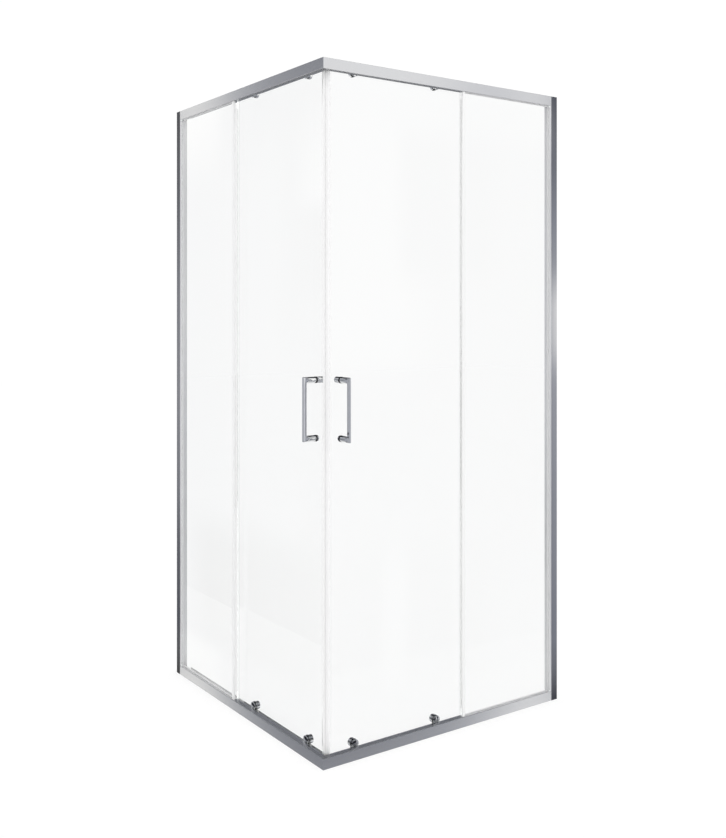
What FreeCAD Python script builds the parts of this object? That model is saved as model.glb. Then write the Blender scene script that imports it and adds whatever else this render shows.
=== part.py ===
import FreeCAD, Part
import os

# Overall size, millimetres
WIDTH = 890.0
HEIGHT = 1900.0
GLASS = 5.0

# Rail extrusion, the same front box at the top and at the bottom
RAIL_HEIGHT = 30.0
RAIL_DEPTH = 45.0
RAIL_WALL = 1.6
RAIL_PLATE = 1.8
RAIL_EDGE_R = 0.8
RAIL_CORNER_EASE = 1.0
BOX_DEPTH = 18.0
SLOT_WIDTH = 9.4
SLOT_FLOOR = 12.0
BOTTOM_REAR = 16.0
TOP_REAR = 20.0
RIB_WIDTH = 1.2
LOWER_RIB_TOP = 5.5
UPPER_RIB_HEIGHT = 1.5
DRAIN_LENGTH = 12.0
DRAIN_HEIGHT = 4.0
DRAIN_SHARES = (0.2, 0.5, 0.8)

# Wall profile and the jamb that slides in it
PROFILE_WIDTH = 25.0
PROFILE_DEPTH = 28.0
PROFILE_WALL = 1.6
PROFILE_BACK = 1.8
JAMB_REACH = 20.0
JAMB_FIT = 0.4
JAMB_WEB = 1.8
NOSE_LENGTH = 7.0
NOSE_DEPTH = 24.0
WALL_HOLE_R = 2.75
WALL_HOLE_V = 17.0
WALL_HOLE_OUTER = 1500.0
WALL_HOLE_INNER = 500.0

# Glazing of the fixed panel
FIXED_EDGE_U = 499.5
GLAZING_BITE = 2.5
GASKET_BASE = 2.4
GASKET_FIT = 0.1
GASKET_LIP = 3.4
COVER_FIT = 0.2
COVER_WALL = 1.2
COVER_TOP = 1.4

# Door panel, which overlaps the free edge of the fixed pane
DOOR_SETBACK = 7.0
DOOR_LEAD_U = 36.5
DOOR_OVERLAP = 14.0
DOOR_BOTTOM = 22.0
DOOR_TOP_DROP = 6.0

# Edge seals and magnetic seals
SEAL_WALL = 1.4
SEAL_WEB = 2.5
SEAL_GRIP = 7.0
FIN_WALL = 1.2
FIN_OFFSET = 6.5
FIN_GAP = 0.8
FIN_END = 50.0
FIXED_FIN_V = 22.5
DOOR_FIN_V = 12.5
DOOR_FIN_END = 36.0
TRAIL_WEB = 1.6
MITRE_GAP = 0.4
MAGNET_GRIP = 6.0
MAGNET_SKIN = 1.4
MAGNET_WIDTH = 3.2
MAGNET_EDGE = 1.0

# Handle
HANDLE_U = 78.0
HANDLE_Z = 955.0
HANDLE_PITCH = 160.0
HANDLE_STANDOFF = 34.0
BAR_DEPTH = 13.0
BAR_WIDTH = 6.5
BAR_ROUND = 3.0
STEM_R = 8.6
STEM_NECK = 13.0
STUD_R = 4.0
STUD_FIT = 0.1
HANDLE_HOLE_R = 5.0
WASHER_R = 9.2
WASHER_T = 1.2
KNOB_LENGTH = 22.0
KNOB_CHAMFER = 2.0
CAP_R = 8.2
CAP_LENGTH = 5.0
CAP_CHAMFER = 1.0
STUD_COVER = 1.0

# Rollers
ROLLER_FRONT_U = 121.0
ROLLER_TRAIL = 100.5
LOWER_HUB_Z = 34.0
UPPER_HUB_DROP = 19.5
HUB_HOLE_R = 4.8
SPIGOT_R = 4.5
SPIGOT_FIT = 0.1
ROLLER_CAP_R = 12.5
ROLLER_CAP_LENGTH = 5.8
ROLLER_CAP_FACE = 2.2
ROLLER_CAP_ROUND = 1.2
BODY_R = 12.5
BODY_ROUND = 1.0
UPPER_BODY_LENGTH = 8.0
UPPER_BODY_DROP = 2.0
ARM_T = 3.0
ARM_HUB_R = 8.0
ARM_TIP_R = 5.0
LOWER_BODY_T = 3.0
BOSS_R = 6.0
BOSS_FIT = 0.08
SWING_T = 2.8
SWING_GAP = 0.2
SWING_HUB_R = 9.5
RETAINER_R = 11.5
RETAINER_T = 8.0
RETAINER_ROUND = 0.8

# Wheels and their pins
WHEEL_R = 7.6
GROOVE_R = 6.4
WHEEL_WIDTH = 5.2
GROOVE_HALF = 1.0
GROOVE_SLOPE = 0.7
TRACK_GAP = 0.25
WHEEL_EYE_R = 0.9
WHEEL_EYE_RING = 4.3
WHEEL_EYES = 5
PIN_R = 2.0
PIN_FIT = 0.05
PIN_COLLAR_R = 3.2
PIN_HEAD_T = 0.8
UPPER_COLLAR = 1.2
WHEEL_SIDE_GAP = 0.3
LOWER_COLLAR = 0.6
LIP_CLEARANCE = 1.4

# Corner joiners, screws and door stops
JOINER_LEG = 80.0
JOINER_FIT = 0.2
RAIL_SCREW_R = 1.8
RAIL_SCREW_LENGTH = 22.0
RAIL_SCREW_HEAD_R = 3.0
RAIL_SCREW_HEAD_T = 1.8
RAIL_SCREW_Z = (7.0, 22.0)
CORNER_SCREW_R = 1.5
CORNER_SCREW_HEAD_R = 3.0
CORNER_SCREW_HEAD_T = 0.6
CORNER_SCREW_U = (45.0, 68.0)
CORNER_SCREW_Z = 15.0
JAMB_SCREW_R = 1.8
JAMB_SCREW_LENGTH = 9.0
JAMB_SCREW_HEAD_R = 3.6
JAMB_SCREW_HEAD_T = 2.0
JAMB_SCREW_SHARES = (0.08, 0.5, 0.92)
SCREW_FIT = 0.1
STOP_LENGTH = 9.6
STOP_FRONT = 5.0
STOP_BACK = 2.0
STOP_HEIGHT = 15.0

# How near an edge lies to a plane that it belongs to
EDGE_TOLERANCE = 0.1

# Positions that follow from the sizes above
RAIL_END = WIDTH - PROFILE_WIDTH
SLOT_BACK = RAIL_WALL + SLOT_WIDTH
WEB_BACK = SLOT_BACK + RAIL_WALL
BOX_INNER = BOX_DEPTH - RAIL_WALL
BOX_LID = RAIL_HEIGHT - RAIL_WALL
REAR_FACE = RAIL_DEPTH - RAIL_WALL
SLOT_FLOOR_TOP = SLOT_FLOOR + RAIL_WALL
FIXED_FRONT = RAIL_WALL + (SLOT_WIDTH - GLASS) / 2.0
FIXED_BACK = FIXED_FRONT + GLASS
FIXED_BOTTOM = SLOT_FLOOR_TOP + GASKET_BASE
FIXED_WALL_U = RAIL_END - GLAZING_BITE
NOSE_U = RAIL_END - NOSE_LENGTH
JAMB_FRONT = PROFILE_WALL + JAMB_FIT
JAMB_BACK = PROFILE_DEPTH - PROFILE_WALL - JAMB_FIT
DOOR_FRONT = BOX_DEPTH + DOOR_SETBACK
DOOR_BACK = DOOR_FRONT + GLASS
DOOR_TOP = HEIGHT - DOOR_TOP_DROP
DOOR_TRAIL_U = FIXED_EDGE_U + DOOR_OVERLAP
ROLLER_REAR_U = DOOR_TRAIL_U - ROLLER_TRAIL
FIXED_FIN_U = FIXED_EDGE_U - SEAL_WEB + FIN_OFFSET
DOOR_FIN_U = FIXED_FIN_U + FIN_WALL + FIN_GAP
SEAL_FRONT = DOOR_FRONT - SEAL_WALL
SEAL_BACK = DOOR_BACK + SEAL_WALL
BAR_V = DOOR_FRONT - HANDLE_STANDOFF
BAR_FACE = BAR_V - BAR_DEPTH / 2.0
CENTRE = (WIDTH + BAR_FACE) / 2.0
CAP_FRONT = DOOR_FRONT - ROLLER_CAP_LENGTH
SPIGOT_FRONT = CAP_FRONT + ROLLER_CAP_FACE
ARM_BACK = DOOR_BACK + ARM_T
UPPER_WHEEL_V = ARM_BACK + UPPER_COLLAR + WHEEL_SIDE_GAP + WHEEL_WIDTH / 2.0
LIP_EDGE = ARM_BACK + LIP_CLEARANCE
LIP_TOP = TOP_REAR - RAIL_WALL
UPPER_AXLE_DROP = LIP_TOP - UPPER_RIB_HEIGHT - TRACK_GAP - GROOVE_R
LOWER_BODY_BACK = DOOR_BACK + LOWER_BODY_T
SWING_FRONT = LOWER_BODY_BACK + SWING_GAP
SWING_BACK = SWING_FRONT + SWING_T
RETAINER_FRONT = SWING_BACK + SWING_GAP
LOWER_WHEEL_V = SWING_BACK + LOWER_COLLAR + WHEEL_SIDE_GAP + WHEEL_WIDTH / 2.0
LOWER_AXLE_Z = LOWER_RIB_TOP + TRACK_GAP + GROOVE_R
STEM_ENDS = (HANDLE_Z - HANDLE_PITCH / 2.0, HANDLE_Z + HANDLE_PITCH / 2.0)
ROLLERS = (("front", ROLLER_FRONT_U), ("rear", ROLLER_REAR_U))
INNER_FACE = DOOR_BACK + WASHER_T
CAVITY_V = (WEB_BACK + BOX_INNER) / 2.0
JAMB_SCREW_U = RAIL_END + JAMB_REACH / 2.0
UP = FreeCAD.Vector(0, 0, 1)
INWARD = FreeCAD.Vector(0, 1, 0)
ALONG = FreeCAD.Vector(1, 0, 0)


def point(u, v, z):
    """Return a point of the right-hand side: along the panel, inward, up."""
    return FreeCAD.Vector(u, v, z)


def box(u0, u1, v0, v1, z0, z1):
    """Return a block between two limits on each axis."""
    return Part.makeBox(u1 - u0, v1 - v0, z1 - z0, point(u0, v0, z0))


def rod(radius, u, z, v0, v1):
    """Return a round bar that runs inward through the panel."""
    return Part.makeCylinder(radius, v1 - v0, point(u, v0, z), INWARD)


def prism(corners, z0, z1):
    """Return an upright extrusion of a plan outline."""
    points = [point(u, v, z0) for u, v in corners]
    face = Part.Face(Part.makePolygon(points + points[:1]))
    return face.extrude(UP * (z1 - z0))


def fused(shapes):
    """Return one solid from several that touch."""
    return shapes[0].multiFuse(shapes[1:]).removeSplitter()


def link(u0, z0, r0, u1, z1, r1, v0, v1):
    """Return a flat link whose two round ends have different radii."""
    span = abs(z1 - z0)
    turn = (r0 - r1) / span
    side = (1.0 - turn * turn) ** 0.5
    sign = 1.0 if z1 > z0 else -1.0
    corners = [
        point(u0 - r0 * side, v0, z0 + sign * r0 * turn),
        point(u0 + r0 * side, v0, z0 + sign * r0 * turn),
        point(u1 + r1 * side, v0, z1 + sign * r1 * turn),
        point(u1 - r1 * side, v0, z1 + sign * r1 * turn),
    ]
    face = Part.Face(Part.makePolygon(corners + corners[:1]))
    plate = face.extrude(INWARD * (v1 - v0))
    return fused([plate, rod(r0, u0, z0, v0, v1), rod(r1, u1, z1, v0, v1)])


def rounded_end(shape, radius, v):
    """Return the shape with the round edges in one plane across v rounded."""
    edges = [e for e in shape.Edges if abs(e.BoundBox.YMin - v) < EDGE_TOLERANCE]
    flat = [e for e in edges if e.BoundBox.YLength < EDGE_TOLERANCE]
    return shape.makeFillet(radius, flat)


def flipped(shape):
    """Return the shape turned over from the floor to the top of the frame."""
    return shape.mirror(point(0, 0, HEIGHT / 2.0), UP)


def mirrored(shape):
    """Return the left-hand copy, mirrored in the upright plane through the corner."""
    return shape.mirror(point(0, 0, 0), ALONG - INWARD)


def export(name, shape):
    """Write one node in the shared frame, with the origin under the centre."""
    placed = shape.copy()
    placed.translate(point(-CENTRE, -CENTRE, 0))
    placed.exportStep("parts/" + name + ".step")


def export_pair(name, shape):
    """Write the right-hand node and its left-hand mirror."""
    export(name + "_right", shape)
    export(name + "_left", mirrored(shape))


def strip(v0, v1, z0, z1):
    """Return a strip of extrusion along the whole rail."""
    return box(0.0, RAIL_END, v0, v1, z0, z1)


def mitred(shape, gap):
    """Return the shape cut along the corner's diagonal, less a gap measured along the panel."""
    far = 2.0 * RAIL_DEPTH
    corners = [(gap - far, -far), (gap + far, far), (gap - far, far)]
    return shape.cut(prism(corners, -RAIL_HEIGHT, HEIGHT + RAIL_HEIGHT))


def rail_front():
    """Return the strips of the front box, seen as a bottom rail."""
    return [
        strip(0.0, RAIL_DEPTH, 0.0, RAIL_PLATE),
        strip(0.0, RAIL_WALL, 0.0, RAIL_HEIGHT),
        strip(RAIL_WALL, SLOT_BACK, SLOT_FLOOR, SLOT_FLOOR_TOP),
        strip(SLOT_BACK, WEB_BACK, 0.0, RAIL_HEIGHT),
        strip(SLOT_BACK, BOX_DEPTH, BOX_LID, RAIL_HEIGHT),
        strip(BOX_INNER, BOX_DEPTH, 0.0, RAIL_HEIGHT),
    ]


def eased(rail):
    """Return the rail with its long front edges rounded."""
    long_edges = [e for e in rail.Edges if e.BoundBox.XLength > RAIL_END / 2.0]
    front = [e for e in long_edges if abs(e.BoundBox.YMax) < EDGE_TOLERANCE]
    return rail.makeFillet(RAIL_EDGE_R, front)


def corner_eased(rail):
    """Return the mitred rail with the sharp upright edge at the corner taken off."""
    reach = RAIL_CORNER_EASE + RAIL_DEPTH
    corners = [(-RAIL_DEPTH, -RAIL_DEPTH), (reach, -RAIL_DEPTH), (-RAIL_DEPTH, reach)]
    return rail.cut(prism(corners, -RAIL_HEIGHT, HEIGHT))


def drained(rail):
    """Return the bottom rail with its drain slots through the rear wall."""
    for share in DRAIN_SHARES:
        middle = share * RAIL_END
        slot = box(
            middle - DRAIN_LENGTH / 2.0,
            middle + DRAIN_LENGTH / 2.0,
            REAR_FACE,
            RAIL_DEPTH,
            RAIL_PLATE,
            RAIL_PLATE + DRAIN_HEIGHT,
        )
        rail = rail.cut(slot)
    return rail


def screwed_corner(rail):
    """Return the rail with the holes for the corner screws."""
    for u in CORNER_SCREW_U:
        hole = rod(CORNER_SCREW_R + SCREW_FIT, u, CORNER_SCREW_Z, BOX_INNER, BOX_DEPTH)
        rail = rail.cut(hole)
    return rail


def bottom_rail():
    """Return the right-hand bottom rail with its guide rib."""
    rib_front = LOWER_WHEEL_V - RIB_WIDTH / 2.0
    rib = strip(rib_front, rib_front + RIB_WIDTH, 0.0, LOWER_RIB_TOP)
    rear = strip(REAR_FACE, RAIL_DEPTH, 0.0, BOTTOM_REAR)
    rail = eased(fused(rail_front() + [rear, rib]))
    return screwed_corner(drained(corner_eased(mitred(rail, 0.0))))


def top_rail():
    """Return the right-hand top rail with its running track."""
    rib_front = UPPER_WHEEL_V - RIB_WIDTH / 2.0
    rib = strip(rib_front, rib_front + RIB_WIDTH, LIP_TOP - UPPER_RIB_HEIGHT, TOP_REAR)
    lip = strip(LIP_EDGE, RAIL_DEPTH, LIP_TOP, TOP_REAR)
    rear = strip(REAR_FACE, RAIL_DEPTH, 0.0, TOP_REAR)
    rail = eased(fused(rail_front() + [rear, lip, rib]))
    return flipped(screwed_corner(corner_eased(mitred(rail, 0.0))))


def wall_hole_heights():
    """Return the heights of the wall fixing holes."""
    middle = HEIGHT / 2.0
    half_spans = (WALL_HOLE_OUTER / 2.0, WALL_HOLE_INNER / 2.0)
    return [middle + sign * span for span in half_spans for sign in (-1.0, 1.0)]


def wall_profile():
    """Return the channel that is screwed to the wall."""
    back_face = WIDTH - PROFILE_BACK
    profile = fused(
        [
            box(RAIL_END, WIDTH, 0.0, PROFILE_WALL, 0.0, HEIGHT),
            box(RAIL_END, WIDTH, PROFILE_DEPTH - PROFILE_WALL, PROFILE_DEPTH, 0.0, HEIGHT),
            box(back_face, WIDTH, 0.0, PROFILE_DEPTH, 0.0, HEIGHT),
        ]
    )
    for z in wall_hole_heights():
        start = point(back_face, WALL_HOLE_V, z)
        profile = profile.cut(Part.makeCylinder(WALL_HOLE_R, PROFILE_BACK, start, ALONG))
    for z in jamb_screw_heights():
        profile = profile.cut(jamb_screw_hole(z))
    return profile


def jamb_screw_heights():
    """Return the heights of the screws that lock the jamb in the wall profile."""
    return [share * HEIGHT for share in JAMB_SCREW_SHARES]


def jamb_screw_hole(z):
    """Return the clearance bore of one jamb screw."""
    radius = JAMB_SCREW_R + SCREW_FIT
    return rod(radius, JAMB_SCREW_U, z, JAMB_BACK - JAMB_SCREW_LENGTH, PROFILE_DEPTH)


def jamb_tube():
    """Return the part of the jamb that slides in the wall profile."""
    end = RAIL_END + JAMB_REACH
    web_back = RAIL_END + JAMB_WEB
    tube = fused(
        [
            box(RAIL_END, web_back, JAMB_FRONT, JAMB_BACK, 0.0, HEIGHT),
            box(RAIL_END, end, JAMB_FRONT, JAMB_FRONT + PROFILE_WALL, 0.0, HEIGHT),
            box(RAIL_END, end, JAMB_BACK - PROFILE_WALL, JAMB_BACK, 0.0, HEIGHT),
        ]
    )
    for z in rail_screw_heights():
        start = point(RAIL_END, CAVITY_V, z)
        tube = tube.cut(Part.makeCylinder(RAIL_SCREW_R + SCREW_FIT, JAMB_WEB, start, ALONG))
    for z in jamb_screw_heights():
        tube = tube.cut(jamb_screw_hole(z))
    return tube


def jamb():
    """Return the jamb: its tube and the nose that holds the fixed glass between the rails."""
    low = RAIL_HEIGHT
    high = HEIGHT - RAIL_HEIGHT
    nose_back = NOSE_DEPTH - RAIL_WALL
    nose = [
        box(NOSE_U, RAIL_END, 0.0, RAIL_WALL, low, high),
        box(RAIL_END - RAIL_WALL, RAIL_END, 0.0, NOSE_DEPTH, low, high),
        box(NOSE_U, RAIL_END, SLOT_BACK, WEB_BACK, low, high),
        box(NOSE_U, RAIL_END, nose_back, NOSE_DEPTH, low, high),
        box(NOSE_U, NOSE_U + RAIL_WALL, SLOT_BACK, NOSE_DEPTH, low, high),
    ]
    return fused([jamb_tube()] + nose)


def fixed_glass():
    """Return the fixed pane."""
    top = HEIGHT - FIXED_BOTTOM
    return box(FIXED_EDGE_U, FIXED_WALL_U - RAIL_WALL, FIXED_FRONT, FIXED_BACK, FIXED_BOTTOM, top)


def glazing_rail_strip():
    """Return the gasket that holds the fixed pane in the bottom rail."""
    start = FIXED_EDGE_U + SEAL_GRIP + FIN_WALL
    end = NOSE_U - GASKET_FIT
    front = RAIL_WALL + GASKET_FIT
    back = SLOT_BACK - GASKET_FIT
    return fused(
        [
            box(start, end, front, back, SLOT_FLOOR_TOP, FIXED_BOTTOM),
            box(start, end, front, FIXED_FRONT, SLOT_FLOOR_TOP, RAIL_HEIGHT),
            box(start, end, FIXED_BACK, back, SLOT_FLOOR_TOP, RAIL_HEIGHT + GASKET_LIP),
        ]
    )


def glazing_side_strip():
    """Return the gasket that holds the fixed pane in the jamb."""
    low = RAIL_HEIGHT + GASKET_LIP + GASKET_FIT
    high = HEIGHT - low
    front = RAIL_WALL + GASKET_FIT
    back = SLOT_BACK - GASKET_FIT
    glass_edge = FIXED_WALL_U - RAIL_WALL
    floor = RAIL_END - RAIL_WALL
    return fused(
        [
            box(glass_edge, floor, front, back, low, high),
            box(NOSE_U, floor, front, FIXED_FRONT, low, high),
            box(NOSE_U - GASKET_LIP, floor, FIXED_BACK, back, low, high),
        ]
    )


def glazing_gasket():
    """Return the three gasket strips of one fixed pane."""
    lower = glazing_rail_strip()
    return Part.makeCompound([lower, flipped(lower), glazing_side_strip()])


def slot_cover():
    """Return the strip that closes the bottom glazing slot along the door opening."""
    front = RAIL_WALL + COVER_FIT
    back = SLOT_BACK - COVER_FIT
    end = FIXED_EDGE_U - SEAL_WEB - COVER_FIT
    lid = RAIL_HEIGHT - COVER_TOP
    cover = fused(
        [
            box(0.0, end, front, back, lid, RAIL_HEIGHT),
            box(0.0, end, front, front + COVER_WALL, SLOT_FLOOR_TOP, RAIL_HEIGHT),
            box(0.0, end, back - COVER_WALL, back, SLOT_FLOOR_TOP, RAIL_HEIGHT),
        ]
    )
    return mitred(cover, COVER_FIT)


def slot_covers():
    """Return the bottom and top slot covers of one side."""
    lower = slot_cover()
    return Part.makeCompound([lower, flipped(lower)])


def fixed_edge_seal():
    """Return the seal on the free edge of the fixed pane, with its inward fin."""
    top = HEIGHT - FIXED_BOTTOM
    start = FIXED_EDGE_U - SEAL_WEB
    end = FIXED_EDGE_U + SEAL_GRIP
    front = FIXED_FRONT - SEAL_WALL
    back = FIXED_BACK + SEAL_WALL
    fin = FIXED_FIN_U
    return fused(
        [
            box(start, FIXED_EDGE_U, front, back, FIXED_BOTTOM, top),
            box(start, end, front, FIXED_FRONT, FIXED_BOTTOM, top),
            box(start, end, FIXED_BACK, back, FIXED_BOTTOM, top),
            box(fin, fin + FIN_WALL, FIXED_BACK, FIXED_FIN_V, FIN_END, HEIGHT - FIN_END),
        ]
    )


def door_glass():
    """Return the sliding pane with its handle and roller holes."""
    pane = box(DOOR_LEAD_U, DOOR_TRAIL_U, DOOR_FRONT, DOOR_BACK, DOOR_BOTTOM, DOOR_TOP)
    for z in STEM_ENDS:
        pane = pane.cut(rod(HANDLE_HOLE_R, HANDLE_U, z, DOOR_FRONT, DOOR_BACK))
    for label, u in ROLLERS:
        pane = pane.cut(rod(HUB_HOLE_R, u, LOWER_HUB_Z, DOOR_FRONT, DOOR_BACK))
        pane = pane.cut(rod(HUB_HOLE_R, u, HEIGHT - UPPER_HUB_DROP, DOOR_FRONT, DOOR_BACK))
    return pane


def magnet_strip():
    """Return the magnet held behind the mitred face of the corner seal."""
    near = MITRE_GAP + MAGNET_SKIN
    far = near + MAGNET_WIDTH
    low = SEAL_FRONT + MAGNET_EDGE
    high = SEAL_BACK - MAGNET_EDGE
    corners = [(low + near, low), (low + far, low), (high + far, high), (high + near, high)]
    return prism(corners, DOOR_BOTTOM, DOOR_TOP)


def magnetic_seal():
    """Return the corner seal on the leading edge of the door."""
    end = DOOR_LEAD_U + MAGNET_GRIP
    corners = [
        (SEAL_FRONT + MITRE_GAP, SEAL_FRONT),
        (end, SEAL_FRONT),
        (end, DOOR_FRONT),
        (DOOR_LEAD_U, DOOR_FRONT),
        (DOOR_LEAD_U, DOOR_BACK),
        (end, DOOR_BACK),
        (end, SEAL_BACK),
        (SEAL_BACK + MITRE_GAP, SEAL_BACK),
    ]
    return prism(corners, DOOR_BOTTOM, DOOR_TOP).cut(magnet_strip())


def door_edge_seal():
    """Return the seal on the trailing edge of the door, with its outward fin."""
    start = DOOR_FIN_U
    end = DOOR_TRAIL_U + TRAIL_WEB
    fin_top = HEIGHT - DOOR_FIN_END
    return fused(
        [
            box(DOOR_TRAIL_U, end, SEAL_FRONT, SEAL_BACK, DOOR_BOTTOM, DOOR_TOP),
            box(start, end, SEAL_FRONT, DOOR_FRONT, DOOR_BOTTOM, DOOR_TOP),
            box(start, end, DOOR_BACK, SEAL_BACK, DOOR_BOTTOM, DOOR_TOP),
            box(start, start + FIN_WALL, DOOR_FIN_V, DOOR_FRONT, DOOR_FIN_END, fin_top),
        ]
    )


def oval(v, z, half_width, half_height):
    """Return an oval outline across a handle stem."""
    circle = Part.makeCircle(1.0, point(0, 0, 0), INWARD)
    stretch = FreeCAD.Matrix()
    stretch.scale(half_width, 1.0, half_height)
    stretch.move(point(HANDLE_U, v, z))
    return Part.Wire(circle.transformGeometry(stretch))


def handle_stem(z, stud_end):
    """Return one stem of the handle, flattened towards the bar, with its stud through the glass."""
    seat = DOOR_FRONT - WASHER_T
    neck_v = BAR_V + STEM_NECK
    tube = rod(STEM_R, HANDLE_U, z, neck_v, seat)
    stud = rod(STUD_R, HANDLE_U, z, seat, stud_end)
    ovals = [oval(neck_v, z, STEM_R, STEM_R), oval(BAR_V, z, BAR_WIDTH / 2.0, STEM_R)]
    neck = Part.makeLoft(ovals, True)
    return fused([tube, stud, neck])


def handle():
    """Return the outer pull: the bar and its two stems."""
    half = HANDLE_PITCH / 2.0 + STEM_R
    side = BAR_WIDTH / 2.0
    bar = box(
        HANDLE_U - side,
        HANDLE_U + side,
        BAR_FACE,
        BAR_FACE + BAR_DEPTH,
        HANDLE_Z - half,
        HANDLE_Z + half,
    )
    bar = bar.makeFillet(BAR_ROUND, bar.Edges)
    low, high = STEM_ENDS
    low_stem = handle_stem(low, INNER_FACE + CAP_LENGTH - STUD_COVER)
    high_stem = handle_stem(high, INNER_FACE + KNOB_LENGTH - STUD_COVER)
    return fused([bar, low_stem, high_stem])


def handle_end(radius, z, length, chamfer):
    """Return an inner handle end with a blind bore for the stud."""
    end = INNER_FACE + length
    body = rod(radius, HANDLE_U, z, INNER_FACE, end)
    rim = [e for e in body.Edges if e.BoundBox.YLength < chamfer and e.BoundBox.YMax > end - chamfer]
    body = body.makeChamfer(chamfer, rim)
    return body.cut(rod(STUD_R + STUD_FIT, HANDLE_U, z, INNER_FACE, end - STUD_COVER))


def handle_washers():
    """Return the ring washers on both faces of the glass at both stems."""
    rings = []
    for z in STEM_ENDS:
        for v in (DOOR_FRONT - WASHER_T, DOOR_BACK):
            ring = rod(WASHER_R, HANDLE_U, z, v, v + WASHER_T)
            rings.append(ring.cut(rod(STUD_R + STUD_FIT, HANDLE_U, z, v, v + WASHER_T)))
    return Part.makeCompound(rings)


def roller_cap(u, z):
    """Return the round cap on the outer face of the door at one roller."""
    body = rounded_end(rod(ROLLER_CAP_R, u, z, CAP_FRONT, DOOR_FRONT), ROLLER_CAP_ROUND, CAP_FRONT)
    return body.cut(rod(SPIGOT_R + SPIGOT_FIT, u, z, SPIGOT_FRONT, DOOR_FRONT))


def roller_caps():
    """Return the four roller caps of one door."""
    caps = []
    for label, u in ROLLERS:
        caps.append(roller_cap(u, LOWER_HUB_Z))
        caps.append(flipped(roller_cap(u, UPPER_HUB_DROP)))
    return Part.makeCompound(caps)


def upper_carrier(u):
    """Return an upper roller carrier: spigot, arm up to the wheel and round body."""
    hub = UPPER_HUB_DROP
    arm = link(u, hub, ARM_HUB_R, u, UPPER_AXLE_DROP, ARM_TIP_R, DOOR_BACK, ARM_BACK)
    end = ARM_BACK + UPPER_BODY_LENGTH
    body = rounded_end(rod(BODY_R, u, hub, ARM_BACK, end), BODY_ROUND, end)
    flat = box(u - BODY_R, u + BODY_R, ARM_BACK, end, hub - BODY_R, hub + UPPER_BODY_DROP)
    spigot = rod(SPIGOT_R, u, hub, SPIGOT_FRONT, DOOR_BACK)
    carrier = fused([arm, body.cut(flat), spigot])
    bore = rod(PIN_R + PIN_FIT, u, UPPER_AXLE_DROP, DOOR_BACK, ARM_BACK)
    return flipped(carrier.cut(bore))


def upper_pin(u):
    """Return the stepped pin of an upper wheel."""
    z = UPPER_AXLE_DROP
    half = WHEEL_WIDTH / 2.0 + WHEEL_SIDE_GAP
    head = UPPER_WHEEL_V + half
    shank = rod(PIN_R, u, z, DOOR_BACK, head)
    collar = rod(PIN_COLLAR_R, u, z, ARM_BACK, UPPER_WHEEL_V - half)
    return flipped(fused([shank, collar, rod(PIN_COLLAR_R, u, z, head, head + PIN_HEAD_T)]))


def lower_body(u):
    """Return a lower roller body: spigot, round plate and pivot boss."""
    z = LOWER_HUB_Z
    plate = rod(BODY_R, u, z, DOOR_BACK, LOWER_BODY_BACK)
    spigot = rod(SPIGOT_R, u, z, SPIGOT_FRONT, DOOR_BACK)
    boss = rod(BOSS_R, u, z, LOWER_BODY_BACK, RETAINER_FRONT)
    return fused([plate, spigot, boss])


def lower_retainer(u):
    """Return the cap that keeps a release arm on its boss."""
    end = RETAINER_FRONT + RETAINER_T
    return rounded_end(rod(RETAINER_R, u, LOWER_HUB_Z, RETAINER_FRONT, end), RETAINER_ROUND, end)


def release_arm(u):
    """Return the arm that swings a lower wheel off its rib, with the wheel pin riveted in."""
    hub = LOWER_HUB_Z
    axle = LOWER_AXLE_Z
    half = WHEEL_WIDTH / 2.0 + WHEEL_SIDE_GAP
    head = LOWER_WHEEL_V + half
    plate = link(u, hub, SWING_HUB_R, u, axle, ARM_TIP_R, SWING_FRONT, SWING_BACK)
    collar = rod(PIN_COLLAR_R, u, axle, SWING_BACK, LOWER_WHEEL_V - half)
    shank = rod(PIN_R, u, axle, SWING_BACK, head)
    rivet = rod(PIN_COLLAR_R, u, axle, head, head + PIN_HEAD_T)
    arm = fused([plate, collar, shank, rivet])
    return arm.cut(rod(BOSS_R + BOSS_FIT, u, hub, SWING_FRONT, SWING_BACK))


def wheel(u, v, z):
    """Return a grooved wheel with eyes that show its turning."""
    half = WHEEL_WIDTH / 2.0
    bore = PIN_R + PIN_FIT
    shoulder = GROOVE_HALF + GROOVE_SLOPE
    outline = [
        point(u, v - half, z + bore),
        point(u, v - half, z + WHEEL_R),
        point(u, v - shoulder, z + WHEEL_R),
        point(u, v - GROOVE_HALF, z + GROOVE_R),
        point(u, v + GROOVE_HALF, z + GROOVE_R),
        point(u, v + shoulder, z + WHEEL_R),
        point(u, v + half, z + WHEEL_R),
        point(u, v + half, z + bore),
    ]
    face = Part.Face(Part.makePolygon(outline + outline[:1]))
    turned = face.revolve(point(u, v, z), INWARD, 360.0)
    for index in range(WHEEL_EYES):
        eye = rod(WHEEL_EYE_R, u, z + WHEEL_EYE_RING, v - half, v + half)
        eye.rotate(point(u, v, z), INWARD, index * 360.0 / WHEEL_EYES)
        turned = turned.cut(eye)
    return turned


def joiner():
    """Return the corner plate that holds two bottom rails together."""
    front = WEB_BACK + JOINER_FIT
    back = BOX_INNER - JOINER_FIT
    top = BOX_LID - JOINER_FIT
    leg = box(front, JOINER_LEG, front, back, RAIL_PLATE, top)
    for u in CORNER_SCREW_U:
        leg = leg.cut(rod(CORNER_SCREW_R, u, CORNER_SCREW_Z, front, back))
    return fused([leg, mirrored(leg)])


def rail_screw_heights():
    """Return the heights of the screws that hold the rails to a jamb."""
    return list(RAIL_SCREW_Z) + [HEIGHT - z for z in RAIL_SCREW_Z]


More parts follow.
